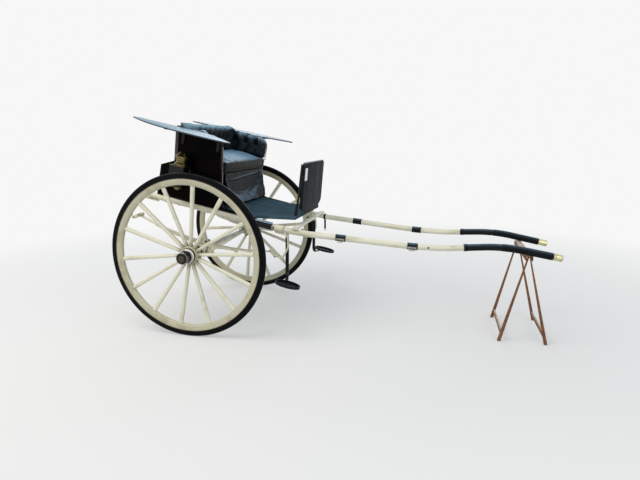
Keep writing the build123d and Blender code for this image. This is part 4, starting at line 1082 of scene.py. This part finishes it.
def stretch(path, start, stop, count):
    # Evenly spaced points between two distances along a path
    lengths = [0.0]
    for a, b in zip(path, path[1:]):
        lengths.append(lengths[-1] + (b - a).length)
    found = []
    for i in range(count):
        want = start + (stop - start) * i / (count - 1)
        for k in range(len(lengths) - 1):
            if lengths[k + 1] >= want or k == len(lengths) - 2:
                found.append(path[k].lerp(path[k + 1], (want - lengths[k]) / (lengths[k + 1] - lengths[k])))
                break
    return found


def coil_rings(bm, path, start, stop, radius, thick, count):
    # Rings of cord side by side along a path
    spots = stretch(path, start, stop, count)
    for spot, way in zip(spots, spots_along(spots)):
        hoop(bm, spot, way, radius, thick, 22, 6)


SLEEVE_R = 0.0292
LEATHER_R = 0.0272
STAPLE_OUT = Vector((0, 1, -0.25)).normalized()
LONE_BOLT = 1.290
STRAP_AT = 0.241
STRAP_LONG = 0.135
collars, plaits, stitches, plates, rivets, lugs = (bmesh.new() for _ in range(6))
for side in (-1, 1):
    path = shaft_path(side)
    total = sum((b - a).length for a, b in zip(path, path[1:]))
    # The heel's cream iron sleeve ends in a raised collar
    bar(collars, stretch(path, 0.020, 0.105, 8), (SLEEVE_R, SLEEVE_R), 20)
    for at, thick in ((0.022, 0.003), (0.100, 0.0045)):
        coil_rings(collars, path, at, at + 0.001, SLEEVE_R, thick, 2)
    # The leather's front third is plaited, and its seam runs along the underside
    coil_rings(plaits, path, total - 0.46, total - 0.08, LEATHER_R, 0.0030, 62)
    coil_rings(plaits, path, 1.568, 1.590, LEATHER_R + 0.0003, 0.0030, 4)
    seam = [p - Vector((0, 0, LEATHER_R + 0.0002)) for p in stretch(path, 1.60, total - 0.47, 60)]
    bar(stitches, seam, (0.0022, 0.0016), 6)
    outward = Vector((0, side * STAPLE_OUT.y, STAPLE_OUT.z))
    for start in BANDS:
        for edge in (start + 0.004, start + BAND_LENGTH - 0.0045):
            coil_rings(stitches, path, edge, edge + 0.0005, 0.0283, 0.0013, 2)
        ends = stretch(path, start + 0.010, start + BAND_LENGTH - 0.010, 3)
        way = (ends[2] - ends[0]).normalized()
        turned = Matrix((way, outward.cross(way).normalized(), outward)).transposed().to_4x4()
        slab(plates, ends[1] + outward * 0.0292, (0.074, 0.016, 0.0022), turned)
        for along in (-0.033, 0.033):
            dome(rivets, ends[1] + way * along + outward * 0.030, outward, 0.004, 0.0025, 10)
    # One bolt through the heel, and one through the wood between the band and the leather
    bolt(lugs, (0.605, side * (POLE_Y + 0.0245), POLE_UP + 0.004), (0, side, 0), 0.007, 0.006)
    lone = stretch(path, LONE_BOLT - 0.005, LONE_BOLT + 0.005, 3)[1]
    dome(lugs, lone + Vector((0, side * 0.0245, 0)), (0, side, 0), 0.0075, 0.005)
finish_piece(collars, "heel_sleeves", cream_iron, angle=50)
finish_piece(plaits, "leather_plaits", strap_leather, angle=60)
finish_piece(stitches, "leather_seams", strap_leather, angle=60)
edge_soft(finish_piece(plates, "staple_plates", steel), 0.7)
finish_piece(rivets, "staple_rivets", steel)

# A plate lies on each shaft's socket; its blue-grey is a painted sky reflection on black paint
bm = bmesh.new()
for side in (-1, 1):
    slab(bm, (0.506, side * (POLE_Y + 0.002), POLE_UP + POLE_R + 0.0052), (0.150, 0.066, 0.003))
edge_soft(finish_piece(bm, "socket_plates", plate_painted_reflection), 1.0)
finish_piece(lugs, "heel_bolts", dark_bolt)

# The far shaft's hanging strap ends in a ring
bm = bmesh.new()
strap_at = stretch(shaft_path(1), STRAP_AT - 0.009, STRAP_AT + 0.009, 3)[1]
down = Vector((sin(NOSE_DOWN), 0, -cos(NOSE_DOWN)))
hoop(bm, strap_at + down * STRAP_LONG, (0, 1, 0), 0.008, 0.0016, 24, 8)
finish_piece(bm, "strap_ring", dark_bolt)


# Crossbar: three raised ridges along its top and one along its front

CROSSBAR_FOOT = 0.3901
CROSSBAR_HALF = 0.505
ridges = [(x, CROSSBAR_FOOT + 0.0178, (0.0028, 0.0018), (0, 0, 1)) for x in (0.770, 0.780, 0.790)]
ridges.append((0.8010, CROSSBAR_FOOT + 0.0055, (0.0018, 0.0026), (1, 0, 0)))
bm = bmesh.new()
for x, up, half, over in ridges:
    bar(bm, [(x, -CROSSBAR_HALF, up), (x, CROSSBAR_HALF, up)], half, 10, over=over)
finish_piece(bm, "crossbar_ridges", shaft_cream, angle=60)


# Steps: a ribbed pad in each tread

TREAD_X, TREAD_Y, TREAD_UP = 0.858, 0.678, -0.0262
TREAD_LONG, TREAD_WIDE = 0.094, 0.0555
bm = bmesh.new()
for side in (-1, 1):
    for i in range(-8, 9):
        x = i * 0.0105
        reach = TREAD_WIDE * sqrt(max(0.0, 1 - (x / TREAD_LONG) ** 2))
        if reach >= 0.012:
            ends = [(TREAD_X + x, side * TREAD_Y + way * reach, TREAD_UP) for way in (-1, 1)]
            bar(bm, ends, (0.0028, 0.0024), 6, over=(0, 0, 1))
finish_piece(bm, "step_ribs", rubber)


# Camera, floor and light

CAMERA = Vector((0.8458, -4.400, 1.622))
PAN, TILT = radians(13.24), radians(11.32)
lens = bpy.data.cameras.new("camera")
lens.lens = 28.125
lens.sensor_width = 36
camera = new_object("camera", lens)
camera.location = CAMERA
look = Vector((-sin(PAN) * cos(TILT), cos(PAN) * cos(TILT), -sin(TILT)))
camera.rotation_euler = look.to_track_quat("-Z", "Y").to_euler()
bpy.context.scene.camera = camera
bpy.context.scene.view_settings.view_transform = "Standard"

bm = bmesh.new()
bmesh.ops.create_grid(bm, x_segments=1, y_segments=1, size=40)
floor_mesh = bpy.data.meshes.new("floor_sheet")
bm.to_mesh(floor_mesh)
bm.free()
floor = new_object("floor_sheet", floor_mesh)
ground = Finish("pale_floor", 0.1)
ground.set("Base Color", "#DCDCDA")
ground.set("Roughness", 0.9)


def seen_white(tree):
    # 1 for the rays that show the surround: straight from the camera, or by a mirror or glass
    camera_rays, glossy, through = (add_node(tree, "LightPath", out=f"Is {kind} Ray")
                                    for kind in ("Camera", "Glossy", "Transmission"))
    either = add_node(tree, "Math", camera_rays, glossy, operation="MAXIMUM")
    return add_node(tree, "Math", either, through, operation="MAXIMUM")


# Far from the object the floor shows the same white as the surround, so that no edge is seen
WHITE = (0.93, 0.93, 0.93, 1)
far_off = ground.add("VectorMath", ground.place, operation="LENGTH", out="Value")
fade = ground.add("MapRange", far_off, 1.6, 6.0, 0.35, 1.0)
shown = ground.add("Math", fade, seen_white(ground.tree), operation="MULTIPLY")
glow = ground.add("Emission", WHITE, 1.0)
feed(ground.tree, ground.surface, ground.add("MixShader", shown, ground.shader.outputs[0], glow))
floor_mesh.materials.append(ground.material)

world = bpy.data.worlds.new("pale_surround")
bpy.context.scene.world = world
world.use_nodes = True
tree = world.node_tree
tree.nodes.clear()
lit = add_node(tree, "Background", "#E4ECF6", 0.62)
white = add_node(tree, "Background", WHITE, 1.0)
out = tree.nodes.new("ShaderNodeOutputWorld").inputs[0]
feed(tree, out, add_node(tree, "MixShader", seen_white(tree), lit, white))


def softbox(name, at, target, size, watts, tone):
    light = bpy.data.lights.new(name, "AREA")
    light.shape = "RECTANGLE"
    light.size, light.size_y = size
    light.energy = watts
    light.color = linear(tone)[:3]
    lamp = new_object(name, light)
    lamp.location = at
    lamp.rotation_euler = (Vector(target) - Vector(at)).to_track_quat("-Z", "Y").to_euler()


softbox("key_above", (-2.5, -2.5, 5.0), (-0.6, 0, 0.6), (4.0, 4.0), 190, "#FFF8EC")
softbox("fill_front", (3.5, -4.5, 3.0), (0, 0, 0.6), (3.0, 3.0), 60, "#EAF1FA")
softbox("rim_behind", (-1.0, 5.0, 4.0), (-0.8, 0, 0.8), (5.0, 2.0), 70, "#F2F6FC")
